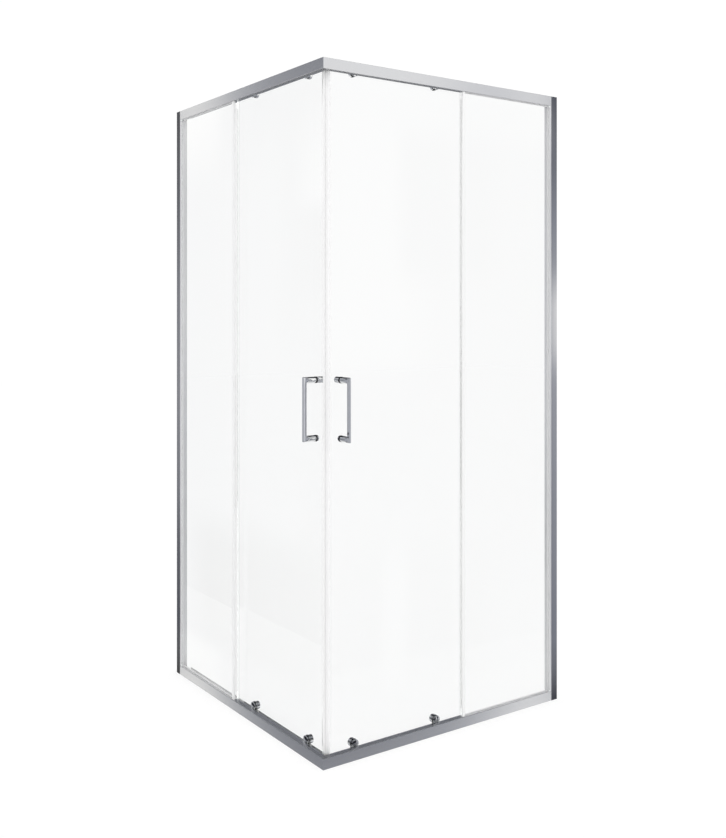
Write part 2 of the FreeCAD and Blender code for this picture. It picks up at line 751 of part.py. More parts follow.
def rail_screw(z):
    """Return a screw through the jamb's web into the rail's cavity."""
    web_back = RAIL_END + JAMB_WEB
    tip = point(web_back - RAIL_SCREW_LENGTH, CAVITY_V, z)
    shank = Part.makeCylinder(RAIL_SCREW_R, RAIL_SCREW_LENGTH, tip, ALONG)
    seat = point(web_back, CAVITY_V, z)
    head = Part.makeCylinder(RAIL_SCREW_HEAD_R, RAIL_SCREW_HEAD_T, seat, ALONG)
    return fused([shank, head])


def corner_screw(u):
    """Return a low-headed screw through the rail's box into the corner plate."""
    z = CORNER_SCREW_Z
    shank = rod(CORNER_SCREW_R, u, z, WEB_BACK + JOINER_FIT, BOX_DEPTH)
    head_end = BOX_DEPTH + CORNER_SCREW_HEAD_T
    return fused([shank, rod(CORNER_SCREW_HEAD_R, u, z, BOX_DEPTH, head_end)])


def jamb_screw(z):
    """Return a screw that locks the jamb in the wall profile."""
    tip = PROFILE_DEPTH - JAMB_SCREW_LENGTH
    head_end = PROFILE_DEPTH + JAMB_SCREW_HEAD_T
    shank = rod(JAMB_SCREW_R, JAMB_SCREW_U, z, tip, PROFILE_DEPTH)
    head = rod(JAMB_SCREW_HEAD_R, JAMB_SCREW_U, z, PROFILE_DEPTH, head_end)
    return fused([shank, rounded_end(head, JAMB_SCREW_HEAD_T / 2.0, head_end)])


def door_stop():
    """Return the buffer in the top rail that meets the opened door."""
    back = DOOR_BACK + STOP_BACK
    front = DOOR_FRONT - STOP_FRONT
    start = RAIL_END - STOP_LENGTH
    block = box(start, RAIL_END, front, back, RAIL_PLATE, RAIL_PLATE + STOP_HEIGHT)
    return flipped(block)


def on_both_sides(shapes):
    """Return one group of the right-hand pieces and their left-hand mirrors."""
    return Part.makeCompound(shapes + [mirrored(shape) for shape in shapes])


def export_frame():
    """Write the pieces that stand still."""
    export_pair("wall_profile", wall_profile())
    export_pair("jamb", jamb())
    export_pair("top_rail", top_rail())
    export_pair("bottom_rail", bottom_rail())
    export_pair("fixed_glass", fixed_glass())
    export_pair("glazing_gasket", glazing_gasket())
    export_pair("slot_covers", slot_covers())
    export_pair("fixed_edge_seal", fixed_edge_seal())
    lower_joiner = joiner()
    export("bottom_corner_joiner", lower_joiner)
    export("top_corner_joiner", flipped(lower_joiner))
    export("rail_screws", on_both_sides([rail_screw(z) for z in rail_screw_heights()]))
    lower_screws = [corner_screw(u) for u in CORNER_SCREW_U]
    upper_screws = [flipped(screw) for screw in lower_screws]
    export("corner_screws", on_both_sides(lower_screws + upper_screws))
    export("jamb_screws", on_both_sides([jamb_screw(z) for z in jamb_screw_heights()]))
    export("door_stops", on_both_sides([door_stop()]))


def export_doors():
    """Write the pieces that slide with the doors."""
    low, high = STEM_ENDS
    export_pair("door_glass", door_glass())
    export_pair("magnetic_seal", magnetic_seal())
    export_pair("magnet_strip", magnet_strip())
    export_pair("door_edge_seal", door_edge_seal())
    export_pair("handle", handle())
    export_pair("handle_inner_knob", handle_end(STEM_R, high, KNOB_LENGTH, KNOB_CHAMFER))
    export_pair("handle_inner_cap", handle_end(CAP_R, low, CAP_LENGTH, CAP_CHAMFER))
    export_pair("handle_washers", handle_washers())
    export_pair("roller_caps", roller_caps())
    spots = [u for label, u in ROLLERS]
    export_pair("upper_roller_carriers", Part.makeCompound([upper_carrier(u) for u in spots]))
    export_pair("upper_roller_pins", Part.makeCompound([upper_pin(u) for u in spots]))
    export_pair("lower_roller_bodies", Part.makeCompound([lower_body(u) for u in spots]))
    export_pair("lower_roller_retainers", Part.makeCompound([lower_retainer(u) for u in spots]))


def export_rollers():
    """Write the wheels and the release arms, each a moving piece of its own."""
    for label, u in ROLLERS:
        export_pair("upper_wheel_" + label, wheel(u, UPPER_WHEEL_V, HEIGHT - UPPER_AXLE_DROP))
        export_pair("lower_wheel_" + label, wheel(u, LOWER_WHEEL_V, LOWER_AXLE_Z))
        export_pair("release_arm_" + label, release_arm(u))


os.makedirs("parts", exist_ok=True)
export_frame()
export_doors()
export_rollers()
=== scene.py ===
"""Dress a corner-entry shower enclosure in Blender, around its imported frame.

Lengths are metres in the frame's own axes. The right-hand side runs along X and the left-hand
side along Y. A left-hand piece is the right-hand one mirrored in the upright plane X = Y.
"""

import logging
import math
from collections.abc import Callable, Iterator, Sequence
from contextlib import contextmanager
from dataclasses import dataclass
from enum import Enum

import bmesh
import bpy
from mathutils import Matrix, Vector


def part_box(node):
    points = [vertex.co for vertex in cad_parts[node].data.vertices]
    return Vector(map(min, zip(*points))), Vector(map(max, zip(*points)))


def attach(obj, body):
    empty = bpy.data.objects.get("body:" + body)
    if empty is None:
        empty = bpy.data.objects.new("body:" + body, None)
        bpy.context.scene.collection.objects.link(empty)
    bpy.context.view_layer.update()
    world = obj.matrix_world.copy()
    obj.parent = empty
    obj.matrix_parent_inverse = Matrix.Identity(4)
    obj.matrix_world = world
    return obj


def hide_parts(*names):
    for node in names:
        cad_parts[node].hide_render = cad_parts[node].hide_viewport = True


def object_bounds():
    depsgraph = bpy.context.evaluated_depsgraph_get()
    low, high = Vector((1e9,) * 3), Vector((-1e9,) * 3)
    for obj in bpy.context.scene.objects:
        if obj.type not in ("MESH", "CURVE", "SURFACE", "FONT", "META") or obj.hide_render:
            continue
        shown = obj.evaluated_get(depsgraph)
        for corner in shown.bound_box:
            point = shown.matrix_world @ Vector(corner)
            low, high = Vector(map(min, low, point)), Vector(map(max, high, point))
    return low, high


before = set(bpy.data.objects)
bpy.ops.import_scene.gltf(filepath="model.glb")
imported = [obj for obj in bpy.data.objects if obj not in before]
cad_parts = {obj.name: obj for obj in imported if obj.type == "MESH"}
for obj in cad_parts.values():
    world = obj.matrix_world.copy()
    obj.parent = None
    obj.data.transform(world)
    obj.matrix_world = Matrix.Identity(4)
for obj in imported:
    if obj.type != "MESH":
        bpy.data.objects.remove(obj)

CAD_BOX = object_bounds()
LOG = logging.getLogger("enclosure")
MM = 0.001
MIRROR = Matrix(((0, 1, 0, 0), (1, 0, 0, 0), (0, 0, 1, 0), (0, 0, 0, 1)))
EVEN = (1.0, 1.0, 1.0)
BLACK = (0.0, 0.0, 0.0)
MERGE_GAP = 0.00001
WELD_GAP = 0.000005
SHARP_ANGLE = 35.0
COOL_RED = -0.05
COOL_BLUE = 0.17
Colour = tuple[float, float, float]
Pairs = Sequence[tuple[float, float]]


class Axis(Enum):
    """The direction in which an extrusion runs, with the stretch of its grain."""

    X = (0.012, 1.0, 1.0)
    Y = (1.0, 0.012, 1.0)
    Z = (1.0, 1.0, 0.012)


class Side(Enum):
    """The two sides of the enclosure, as seen from outside its free corner."""

    RIGHT = "right"
    LEFT = "left"

    def name(self, stem: str) -> str:
        """Return this side's name for a piece or a node."""
        return f"{stem}_{self.value}"

    @property
    def run(self) -> Axis:
        """Return the direction in which this side's rails run."""
        return Axis.X if self is Side.RIGHT else Axis.Y

    @property
    def across(self) -> Vector:
        """Return the direction square to this side's panes."""
        return Vector((0.0, 1.0, 0.0)) if self is Side.RIGHT else Vector((1.0, 0.0, 0.0))


class Measure(Enum):
    """A way to measure into a panel of either side, as the node operation that finds it."""

    ALONG = "MAXIMUM"
    INWARD = "MINIMUM"


class Pattern(Enum):
    """A shared noise: its name, the layers of its fine noise, the scale of its soft noise."""

    GRAIN = ("extrusion_grain", 4.0, 0.06)
    MOULD = ("moulded_grain", 2.0, 0.02)
    MARKS = ("handling_marks", 6.0, 0.35)


class Shader:
    """One material's node tree, with helpers that add and join its nodes."""

    def __init__(self, name: str) -> None:
        """Start a material that has a Principled shader.

        Args:
            name: the material's name.
        """
        self.material = bpy.data.materials.new(name)
        self.material.use_nodes = True
        self.tree = self.material.node_tree
        self.surface = self.tree.nodes["Principled BSDF"]
        self.output = self.tree.nodes["Material Output"]

    def add(self, kind: str, **settings: object) -> bpy.types.Node:
        """Add a node.

        Args:
            kind: the node's type name.
            settings: attributes that are set on the node.

        Returns:
            The new node.
        """
        node = self.tree.nodes.new(kind)
        for key, value in settings.items():
            setattr(node, key, value)
        return node

    def join(self, source: bpy.types.NodeSocket, target: bpy.types.NodeSocket) -> None:
        """Link one socket to another."""
        self.tree.links.new(source, target)

    def feed(self, name: str, source: bpy.types.NodeSocket) -> None:
        """Link a socket to the Principled shader's input of a name."""
        self.join(source, self.surface.inputs[name])

    def set(self, **values: object) -> None:
        """Set plain values on the Principled shader, by socket name with underscores."""
        for key, value in values.items():
            self.surface.inputs[key.replace("_", " ")].default_value = value

    def place(self, stretch: Sequence[float]) -> bpy.types.NodeSocket:
        """Find the object coordinates.

        Args:
            stretch: the factor along each axis.

        Returns:
            The socket that gives the stretched coordinates.
        """
        coordinates = self.add("ShaderNodeTexCoord")
        mapping = self.add("ShaderNodeMapping")
        mapping.inputs["Scale"].default_value = stretch
        self.join(coordinates.outputs["Object"], mapping.inputs["Vector"])
        return mapping.outputs["Vector"]

    def axes(self, stretch: Sequence[float] = EVEN) -> bpy.types.Node:
        """Split the object coordinates.

        Args:
            stretch: the factor along each axis.

        Returns:
            The node that gives X, Y and Z.
        """
        node = self.add("ShaderNodeSeparateXYZ")
        self.join(self.place(stretch), node.inputs["Vector"])
        return node

    def pattern(
        self, tree: bpy.types.NodeTree, fineness: float, softness: float, stretch: Sequence[float]
    ) -> bpy.types.Node:
        """Place a shared noise group.

        Args:
            tree: the group's node tree.
            fineness: the scale of its fine noise.
            softness: the share of its soft noise in the tone.
            stretch: the pattern's factor along each axis.

        Returns:
            The group node.
        """
        node = self.add("ShaderNodeGroup", node_tree=tree)
        node.inputs["Fineness"].default_value = fineness
        node.inputs["Softness"].default_value = softness
        self.join(self.place(stretch), node.inputs["Vector"])
        return node

    def combine(
        self, operation: str, first: bpy.types.NodeSocket, second: bpy.types.NodeSocket
    ) -> bpy.types.NodeSocket:
        """Work out one number from two.

        Args:
            operation: the math node's operation.
            first: the first number's socket.
            second: the second number's socket.

        Returns:
            The socket that gives the result.
        """
        node = self.add("ShaderNodeMath", operation=operation)
        self.join(first, node.inputs[0])
        self.join(second, node.inputs[1])
        return node.outputs["Value"]

    def tint(self, mask: bpy.types.NodeSocket, low: Colour, high: Colour) -> bpy.types.NodeSocket:
        """Blend two colours.

        Args:
            mask: the socket that blends them.
            low: the colour where the mask is 0.
            high: the colour where it is 1.

        Returns:
            The socket that gives the blend.
        """
        mix = self.add("ShaderNodeMix", data_type="RGBA")
        mix.inputs["A"].default_value = (*low, 1.0)
        mix.inputs["B"].default_value = (*high, 1.0)
        self.join(mask, mix.inputs["Factor"])
        return mix.outputs["Result"]

    def spread(self, mask: bpy.types.NodeSocket, low: float, high: float) -> bpy.types.NodeSocket:
        """Move a number between two ends.

        Args:
            mask: the socket that moves it.
            low: the number where the mask is 0.
            high: the number where it is 1.

        Returns:
            The socket that gives the number.
        """
        span = self.add("ShaderNodeMapRange")
        span.inputs["To Min"].default_value = low
        span.inputs["To Max"].default_value = high
        self.join(mask, span.inputs["Value"])
        return span.outputs["Result"]

    def past(
        self, measure: Measure, limit: float, fade: float, low: float, high: float
    ) -> bpy.types.NodeSocket:
        """Find a number that changes past a limit in the panel.

        Args:
            measure: which way the limit is measured.
            limit: where the number changes, in the frame's axes.
            fade: half the length of the change.
            low: the number before the limit.
            high: the number past it.

        Returns:
            The socket that gives the number.
        """
        place = self.axes()
        reach = self.combine(measure.value, place.outputs["X"], place.outputs["Y"])
        change = self.add("ShaderNodeMapRange")
        change.inputs["From Min"].default_value = limit - fade
        change.inputs["From Max"].default_value = limit + fade
        change.inputs["To Min"].default_value = low
        change.inputs["To Max"].default_value = high
        self.join(reach, change.inputs["Value"])
        return change.outputs["Result"]

    def bump(self, height: bpy.types.NodeSocket, depth: float, strength: float) -> None:
        """Let a height feed the surface's normal.

        Args:
            height: the socket that gives the height, from 0 to 1.
            depth: how deep that height is, in metres.
            strength: the share of the bump that is kept.
        """
        node = self.add("ShaderNodeBump")
        node.inputs["Strength"].default_value = strength
        node.inputs["Distance"].default_value = depth
        self.join(height, node.inputs["Height"])
        self.feed("Normal", node.outputs["Normal"])

    def show_mix(
        self, share: bpy.types.NodeSocket, start: bpy.types.NodeSocket, end: bpy.types.NodeSocket
    ) -> None:
        """Send a mix of two shaders to the output.

        Args:
            share: the socket that mixes them.
            start: the shader where the share is 0.
            end: the shader where it is 1.
        """
        mix = self.add("ShaderNodeMixShader")
        self.join(share, mix.inputs["Fac"])
        self.join(start, mix.inputs[1])
        self.join(end, mix.inputs[2])
        self.join(mix.outputs["Shader"], self.output.inputs["Surface"])


def shaded(colour: Colour, factor: float) -> Colour:
    """Return a colour made lighter or darker by a factor."""
    return tuple(min(1.0, channel * factor) for channel in colour)


def cooled(grey: float) -> Colour:
    """Return a grey that is bluer the darker it is."""
    dark = 1.0 - grey
    return (grey * (1.0 + COOL_RED * dark), grey, grey * (1.0 + COOL_BLUE * dark))


def tone_ramp(shader: Shader, stops: Pairs) -> bpy.types.Node:
    """Add a ramp of greys.

    Args:
        shader: the material that takes the ramp.
        stops: pairs of a place, from 0 to 1, and a grey.

    Returns:
        The ramp node.
    """
    ramp = shader.add("ShaderNodeValToRGB")
    elements = ramp.color_ramp.elements
    while len(elements) < len(stops):
        elements.new(0.5)
    for element, (where, grey) in zip(elements, stops):
        element.position = where
        element.color = (*cooled(grey), 1.0)
    return ramp


def let_light_through(shader: Shader) -> None:
    """Let the rays that carry soft light pass a clear material, tinted by nothing.

    Args:
        shader: the material.
    """
    path = shader.add("ShaderNodeLightPath")
    soft = shader.combine("MAXIMUM", path.outputs["Is Shadow Ray"], path.outputs["Is Diffuse Ray"])
    clear = shader.add("ShaderNodeBsdfTransparent")
    shader.show_mix(soft, shader.surface.outputs["BSDF"], clear.outputs["BSDF"])


def show_to_mirrors(shader: Shader, glow: bpy.types.Node) -> None:
    """Let a glow show only to rays that have left a mirror.

    Args:
        shader: the material.
        glow: its emission node.
    """
    path = shader.add("ShaderNodeLightPath")
    seen = shader.add("ShaderNodeMath", operation="GREATER_THAN")
    seen.inputs[1].default_value = 0.5
    clear = shader.add("ShaderNodeBsdfTransparent")
    shader.join(path.outputs["Glossy Depth"], seen.inputs[0])
    shader.show_mix(seen.outputs["Value"], clear.outputs["BSDF"], glow.outputs["Emission"])
    shader.material.cycles.emission_sampling = "NONE"


def seen_directly(tree: bpy.types.NodeTree) -> bpy.types.NodeSocket:
    """Add a test for rays that come from the camera or through glass.

    Args:
        tree: the node tree of a material or a world.

    Returns:
        The socket that gives 1 for such rays and 0 for others.
    """
    path = tree.nodes.new("ShaderNodeLightPath")
    either = tree.nodes.new("ShaderNodeMath")
    either.operation = "MAXIMUM"
    tree.links.new(path.outputs["Is Camera Ray"], either.inputs[0])
    tree.links.new(path.outputs["Is Transmission Ray"], either.inputs[1])
    return either.outputs["Value"]


class Effects:
    """The node groups that several finishes share, each built once."""

    def __init__(self) -> None:
        """Build the groups."""
        self.groups = {pattern: self.noise_group(*pattern.value) for pattern in Pattern}

    @staticmethod
    def noise_group(name: str, detail: float, soft_scale: float) -> bpy.types.NodeTree:
        """Build a group of a fine and a soft noise.

        Args:
            name: the group's name.
            detail: how many finer layers the fine noise has.
            soft_scale: the soft noise's scale, as a share of the fine one's.

        Returns:
            The group, with a tone and a height as outputs.
        """
        tree = bpy.data.node_groups.new(name, "ShaderNodeTree")
        face = tree.interface
        face.new_socket("Vector", in_out="INPUT", socket_type="NodeSocketVector")
        for way, sockets in (("INPUT", ("Fineness", "Softness")), ("OUTPUT", ("Tone", "Height"))):
            for socket in sockets:
                face.new_socket(socket, in_out=way, socket_type="NodeSocketFloat")
        way_in = tree.nodes.new("NodeGroupInput")
        way_out = tree.nodes.new("NodeGroupOutput")
        fine = tree.nodes.new("ShaderNodeTexNoise")
        fine.inputs["Detail"].default_value = detail
        soft = tree.nodes.new("ShaderNodeTexNoise")
        scale = tree.nodes.new("ShaderNodeMath")
        scale.operation = "MULTIPLY"
        scale.inputs[1].default_value = soft_scale
        mix = tree.nodes.new("ShaderNodeMix")
        wires = (
            (way_in.outputs["Vector"], fine.inputs["Vector"]),
            (way_in.outputs["Vector"], soft.inputs["Vector"]),
            (way_in.outputs["Fineness"], fine.inputs["Scale"]),
            (way_in.outputs["Fineness"], scale.inputs[0]),
            (scale.outputs["Value"], soft.inputs["Scale"]),
            (way_in.outputs["Softness"], mix.inputs["Factor"]),
            (fine.outputs["Fac"], mix.inputs["A"]),
            (soft.outputs["Fac"], mix.inputs["B"]),
            (mix.outputs["Result"], way_out.inputs["Tone"]),
            (fine.outputs["Fac"], way_out.inputs["Height"]),
        )
        for source, target in wires:
            tree.links.new(source, target)
        return tree


@dataclass(frozen=True)
class Finish:
    """A surface whose colour and gloss vary with a fine pattern.

    Tones are factors on the colour and gloss is added to the roughness, each from the pattern's
    low end to its high end.
    """

    title: str
    colour: Colour
    roughness: float
    pattern: Pattern = Pattern.GRAIN
    fineness: float = 900.0
    softness: float = 0.5
    stretch: Sequence[float] = EVEN
    metal: float = 1.0
    tones: tuple[float, float] = (0.98, 1.02)
    gloss: tuple[float, float] = (-0.03, 0.03)
    bump_depth: float = 0.0
    bump_strength: float = 0.0

    def material(self, effects: Effects) -> bpy.types.Material:
        """Build the finish.

        Args:
            effects: the shared node groups.

        Returns:
            The finish as a material.
        """
        shader = Shader(self.title)
        group = effects.groups[self.pattern]
        noise = shader.pattern(group, self.fineness, self.softness, self.stretch)
        tone = noise.outputs["Tone"]
        shader.feed("Base Color", self.base(shader, tone))
        smooth, rough = (self.roughness + step for step in self.gloss)
        shader.feed("Roughness", shader.spread(tone, smooth, rough))
        if self.bump_strength:
            shader.bump(noise.outputs["Height"], self.bump_depth, self.bump_strength)
        self.complete(shader, tone)
        return shader.material

    def base(self, shader: Shader, tone: bpy.types.NodeSocket) -> bpy.types.NodeSocket:
        """Return the socket that gives the surface's colour."""
        dark, light = (shaded(self.colour, factor) for factor in self.tones)
        return shader.tint(tone, dark, light)

    def complete(self, shader: Shader, tone: bpy.types.NodeSocket) -> None:
        """Make the surface equally metallic all over."""
        shader.set(Metallic=self.metal)


@dataclass(frozen=True)
class AnodisedAluminium(Finish):
    """Satin anodised aluminium with the fine lines that the die leaves."""

    bump_depth: float = 0.00001
    bump_strength: float = 0.15


@dataclass(frozen=True)
class SillAluminium(AnodisedAluminium):
    """Anodised aluminium that is left dull and pale inside, behind the fixed pane."""

    inside: float = 0.0
    opening: float = 0.0
    fade: float = 0.5 * MM
    inside_metal: float = 0.0

    def complete(self, shader: Shader, tone: bpy.types.NodeSocket) -> None:
        """Make the surface metallic in front of the fixed pane and along the door's opening.

        Args:
            shader: the material.
            tone: the socket of the pattern's tone, which this leaves alone.
        """
        behind = shader.past(Measure.INWARD, self.inside, self.fade, 0.0, 1.0)
        beside = shader.past(Measure.ALONG, self.opening, self.fade, 0.0, 1.0)
        dull = shader.combine("MULTIPLY", behind, beside)
        shader.feed("Metallic", shader.spread(dull, self.metal, self.inside_metal))


@dataclass(frozen=True)
class BrightProfileWithPaintedShade(Finish):
    """Bright-dipped aluminium with painted shade at the upright's ends and a painted highlight."""

    softness: float = 0.4
    stretch: Sequence[float] = Axis.Z.value
    tones: tuple[float, float] = (0.9, 1.0)
    gloss: tuple[float, float] = (-0.04, 0.04)
    # stops: painted shade and a painted highlight, as greys along the upright's height
    stops: Pairs = ((0.0, 1.0), (1.0, 1.0))
    height: float = 1.0

    def base(self, shader: Shader, tone: bpy.types.NodeSocket) -> bpy.types.NodeSocket:
        """Paint shade and a highlight onto the colour by the height.

        Args:
            shader: the material.
            tone: the socket of the pattern's tone.

        Returns:
            The socket that gives the surface's colour.
        """
        level = shader.axes((1.0, 1.0, 1.0 / self.height))
        # painted shade and highlight: greys by height multiply the colour
        ramp = tone_ramp(shader, self.stops)
        shader.join(level.outputs["Z"], ramp.inputs["Fac"])
        mix = shader.add("ShaderNodeMix", data_type="RGBA", blend_type="MULTIPLY")
        mix.inputs["Factor"].default_value = 1.0
        shader.join(ramp.outputs["Color"], mix.inputs["A"])
        shader.join(super().base(shader, tone), mix.inputs["B"])
        return mix.outputs["Result"]


@dataclass(frozen=True)
class PolishedChrome(Finish):
    """Mirror chrome with the faint smears that hands and water leave."""

    colour: Colour = (0.92, 0.925, 0.93)
    roughness: float = 0.04
    pattern: Pattern = Pattern.MARKS
    fineness: float = 120.0
    softness: float = 0.6
    tones: tuple[float, float] = (0.96, 1.03)
    gloss: tuple[float, float] = (0.0, 0.05)


@dataclass(frozen=True)
class TurnedSteel(Finish):
    """Plated steel with fine turned lines."""

    colour: Colour = (0.62, 0.61, 0.6)
    roughness: float = 0.24
    pattern: Pattern = Pattern.MARKS
    fineness: float = 700.0
    softness: float = 0.4
    tones: tuple[float, float] = (0.85, 1.1)
    gloss: tuple[float, float] = (-0.08, 0.12)
    bump_depth: float = 0.00004
    bump_strength: float = 0.3


@dataclass(frozen=True)
class Moulded(Finish):
    """Moulded plastic or rubber with a fine grain."""

    pattern: Pattern = Pattern.MOULD
    fineness: float = 1800.0
    metal: float = 0.0
    tones: tuple[float, float] = (0.88, 1.12)
    gloss: tuple[float, float] = (-0.1, 0.1)
    bump_depth: float = 0.00005
    bump_strength: float = 0.4


@dataclass(frozen=True)
class ClearVinyl(Finish):
    """Soft clear vinyl, a little milky, with drawn lines along its length."""

    roughness: float = 0.3
    fineness: float = 500.0
    softness: float = 0.3
    stretch: Sequence[float] = Axis.Z.value
    metal: float = 0.0
    tones: tuple[float, float] = (0.97, 1.03)
    gloss: tuple[float, float] = (-0.08, 0.08)
    bump_depth: float = 0.00002
    bump_strength: float = 0.15
    cover: float = 0.9
    sheen: float = 0.3

    def complete(self, shader: Shader, tone: bpy.types.NodeSocket) -> None:
        """Make the vinyl see-through.

        Args:
            shader: the material.
            tone: the socket of the pattern's tone.
        """
        shader.set(Metallic=self.metal, Specular_IOR_Level=self.sheen)
        thin, thick = (self.cover * factor for factor in self.tones)
        shader.feed("Alpha", self.thinned(shader, shader.spread(tone, thin, thick)))
        let_light_through(shader)

    def thinned(self, shader: Shader, milk: bpy.types.NodeSocket) -> bpy.types.NodeSocket:
        """Return the cover, which is the same all over."""
        return milk


@dataclass(frozen=True)
class GradedVinyl(ClearVinyl):
    """Vinyl that is milky up to a limit and almost clear past it."""

    measure: Measure = Measure.ALONG
    limit: float = 0.0
    fade: float = 0.5 * MM
    rest: float = 0.08

    def thinned(self, shader: Shader, milk: bpy.types.NodeSocket) -> bpy.types.NodeSocket:
        """Return the cover, thinned past the limit."""
        core = shader.past(self.measure, self.limit, self.fade, 1.0, self.rest)
        return shader.combine("MULTIPLY", milk, core)


@dataclass(frozen=True)
class ClearGlass:
    """Toughened glass, clear through the pane, with cut edges that glow with painted light."""

    title: str
    across: Vector
    clear: Colour = (0.945, 0.949, 0.948)
    edge: Colour = (0.93, 0.97, 0.95)
    painted_edge_glow: float = 0.95
    index: float = 1.2
    film_scale: float = 9.0
    film_softness: float = 0.5
    film_stretch: Sequence[float] = (1.0, 1.0, 0.35)
    film: tuple[float, float] = (-0.02, 0.03)

    def material(self, effects: Effects) -> bpy.types.Material:
        """Build the finish.

        Args:
            effects: the shared node groups.

        Returns:
            The finish as a material.
        """
        shader = Shader(self.title)
        shader.set(Transmission_Weight=1.0, IOR=self.index, Metallic=0.0)
        geometry = shader.add("ShaderNodeNewGeometry")
        facing = shader.add("ShaderNodeVectorMath", operation="DOT_PRODUCT")
        facing.inputs[1].default_value = self.across
        shader.join(geometry.outputs["True Normal"], facing.inputs[0])
        size = shader.add("ShaderNodeMath", operation="ABSOLUTE")
        shader.join(facing.outputs["Value"], size.inputs[0])
        face = size.outputs["Value"]
        shader.feed("Base Color", shader.tint(face, self.edge, self.clear))
        # painted light: the cut edges glow, though no lamp is in them
        shader.feed("Emission Color", shader.tint(face, self.edge, BLACK))
        shader.set(Emission_Strength=self.painted_edge_glow)
        shader.material.cycles.emission_sampling = "NONE"
        group = effects.groups[Pattern.MARKS]
        marks = shader.pattern(group, self.film_scale, self.film_softness, self.film_stretch)
        shader.feed("Roughness", shader.spread(marks.outputs["Tone"], *self.film))
        let_light_through(shader)
        return shader.material


def deselect() -> None:
    """Leave nothing selected."""
    bpy.ops.object.select_all(action="DESELECT")


def make_active(piece: bpy.types.Object) -> None:
    """Leave one piece selected and active.

    Args:
        piece: the piece.
    """
    deselect()
    piece.select_set(True)
    bpy.context.view_layer.objects.active = piece


@contextmanager
def editing(piece: bpy.types.Object) -> Iterator[bpy.types.Object]:
    """Hold one piece in edit mode.

    Args:
        piece: the piece.

    Returns:
        The piece, once while the mode lasts.
    """
    make_active(piece)
    bpy.ops.object.mode_set(mode="EDIT")
    yield piece
    bpy.ops.object.mode_set(mode="OBJECT")


def pick_faces(piece: bpy.types.Object, wanted: Callable[[bmesh.types.BMFace], bool]) -> None:
    """Select some faces of a piece in edit mode.

    Args:
        piece: the piece.
        wanted: the test that a face has to pass.
    """
    bpy.ops.mesh.select_mode(type="FACE")
    bpy.ops.mesh.select_all(action="DESELECT")
    mesh = bmesh.from_edit_mesh(piece.data)
    for face in mesh.faces:
        face.select_set(wanted(face))
    bmesh.update_edit_mesh(piece.data)


def outward(piece: bpy.types.Object) -> None:
    """Merge doubled points and turn the faces outwards.

    Args:
        piece: the piece.
    """
    with editing(piece):
        bpy.ops.mesh.select_all(action="SELECT")
        bpy.ops.mesh.remove_doubles(threshold=MERGE_GAP)
        bpy.ops.mesh.normals_make_consistent(inside=False)


def block(title: str, low: Vector, high: Vector) -> bpy.types.Object:
    """Add a block between two corners.

    Args:
        title: the piece's name.
        low: its lowest corner.
        high: its highest corner.

    Returns:
        The block, with its place in its mesh.
    """
    deselect()
    bpy.ops.mesh.primitive_cube_add(size=1.0, location=(low + high) / 2.0, scale=high - low)
    bpy.ops.object.transform_apply(location=True, rotation=True, scale=True)
    piece = bpy.context.object
    piece.name = title
    return piece


def turned(title: str, x: float, z: float, profile: Pairs, sides: int = 48) -> bpy.types.Object:
    """Turn a piece on an axis that runs along Y.

    Args:
        title: the piece's name.
        x: where the axis stands along the panel.
        z: the axis's height.
        profile: pairs of a depth along Y and a radius, from one end to the other.
        sides: how many sides the turned piece has.

    Returns:
        The piece, closed at both ends.
    """
    start, radius = profile[0]
    deselect()
    bpy.ops.mesh.primitive_circle_add(
        vertices=sides,
        radius=radius,
        fill_type="NGON",
        location=(x, start, z),
        rotation=(math.pi / 2.0, 0.0, 0.0),
    )
    bpy.ops.object.transform_apply(location=True, rotation=True, scale=True)
    piece = bpy.context.object
    piece.name = title
    with editing(piece):
        bpy.ops.mesh.select_all(action="SELECT")
        for (y0, r0), (y1, r1) in zip(profile, profile[1:]):
            bpy.ops.mesh.extrude_region_move(TRANSFORM_OT_translate={"value": (0.0, y1 - y0, 0.0)})
            ratio = r1 / r0
            bpy.ops.transform.resize(value=(ratio, 1.0, ratio), center_override=(x, y1, z))
    outward(piece)
    return piece


def rounded(piece: bpy.types.Object, width: float, segments: int = 2, angle: float = 30.0) -> None:
    """Round the sharp edges of a new piece for good.

    Args:
        piece: the piece.
        width: the rounding's width.
        segments: how many faces it has.
        angle: edges that turn by more than this, in degrees, are rounded.
    """
    make_active(piece)
    bevel = piece.modifiers.new("rounding", "BEVEL")
    bevel.width = width
    bevel.segments = segments
    bevel.limit_method = "ANGLE"
    bevel.angle_limit = math.radians(angle)
    bpy.ops.object.modifier_apply(modifier=bevel.name)
    smoothed(piece)


def smoothed(piece: bpy.types.Object) -> None:
    """Shade a new piece smoothly, with broad faces kept flat and sharp edges sharp.

    Args:
        piece: the piece.
    """
    make_active(piece)
    bpy.ops.object.shade_smooth_by_angle(angle=math.radians(SHARP_ANGLE))
    normals = piece.modifiers.new("normals", "WEIGHTED_NORMAL")
    normals.keep_sharp = True
    bpy.ops.object.modifier_apply(modifier=normals.name)


def united(piece: bpy.types.Object, others: Sequence[bpy.types.Object]) -> None:
    """Unite other solids with a piece and delete them.

    Args:
        piece: the piece that stays.
        others: the solids that go into it.
    """
    for other in others:
        make_active(piece)
        union = piece.modifiers.new("union", "BOOLEAN")
        union.operation = "UNION"
        union.solver = "EXACT"
        union.object = other
        bpy.ops.object.modifier_apply(modifier=union.name)
        bpy.data.objects.remove(other)


def joined(title: str, pieces: Sequence[bpy.types.Object]) -> bpy.types.Object:
    """Join several closed pieces into one object.

    Args:
        title: the object's name.
        pieces: two or more pieces.

    Returns:
        The object.
    """
    make_active(pieces[0])
    for piece in pieces:
        piece.select_set(True)
    bpy.ops.object.join()
    whole = bpy.context.object
    whole.name = title
    return whole


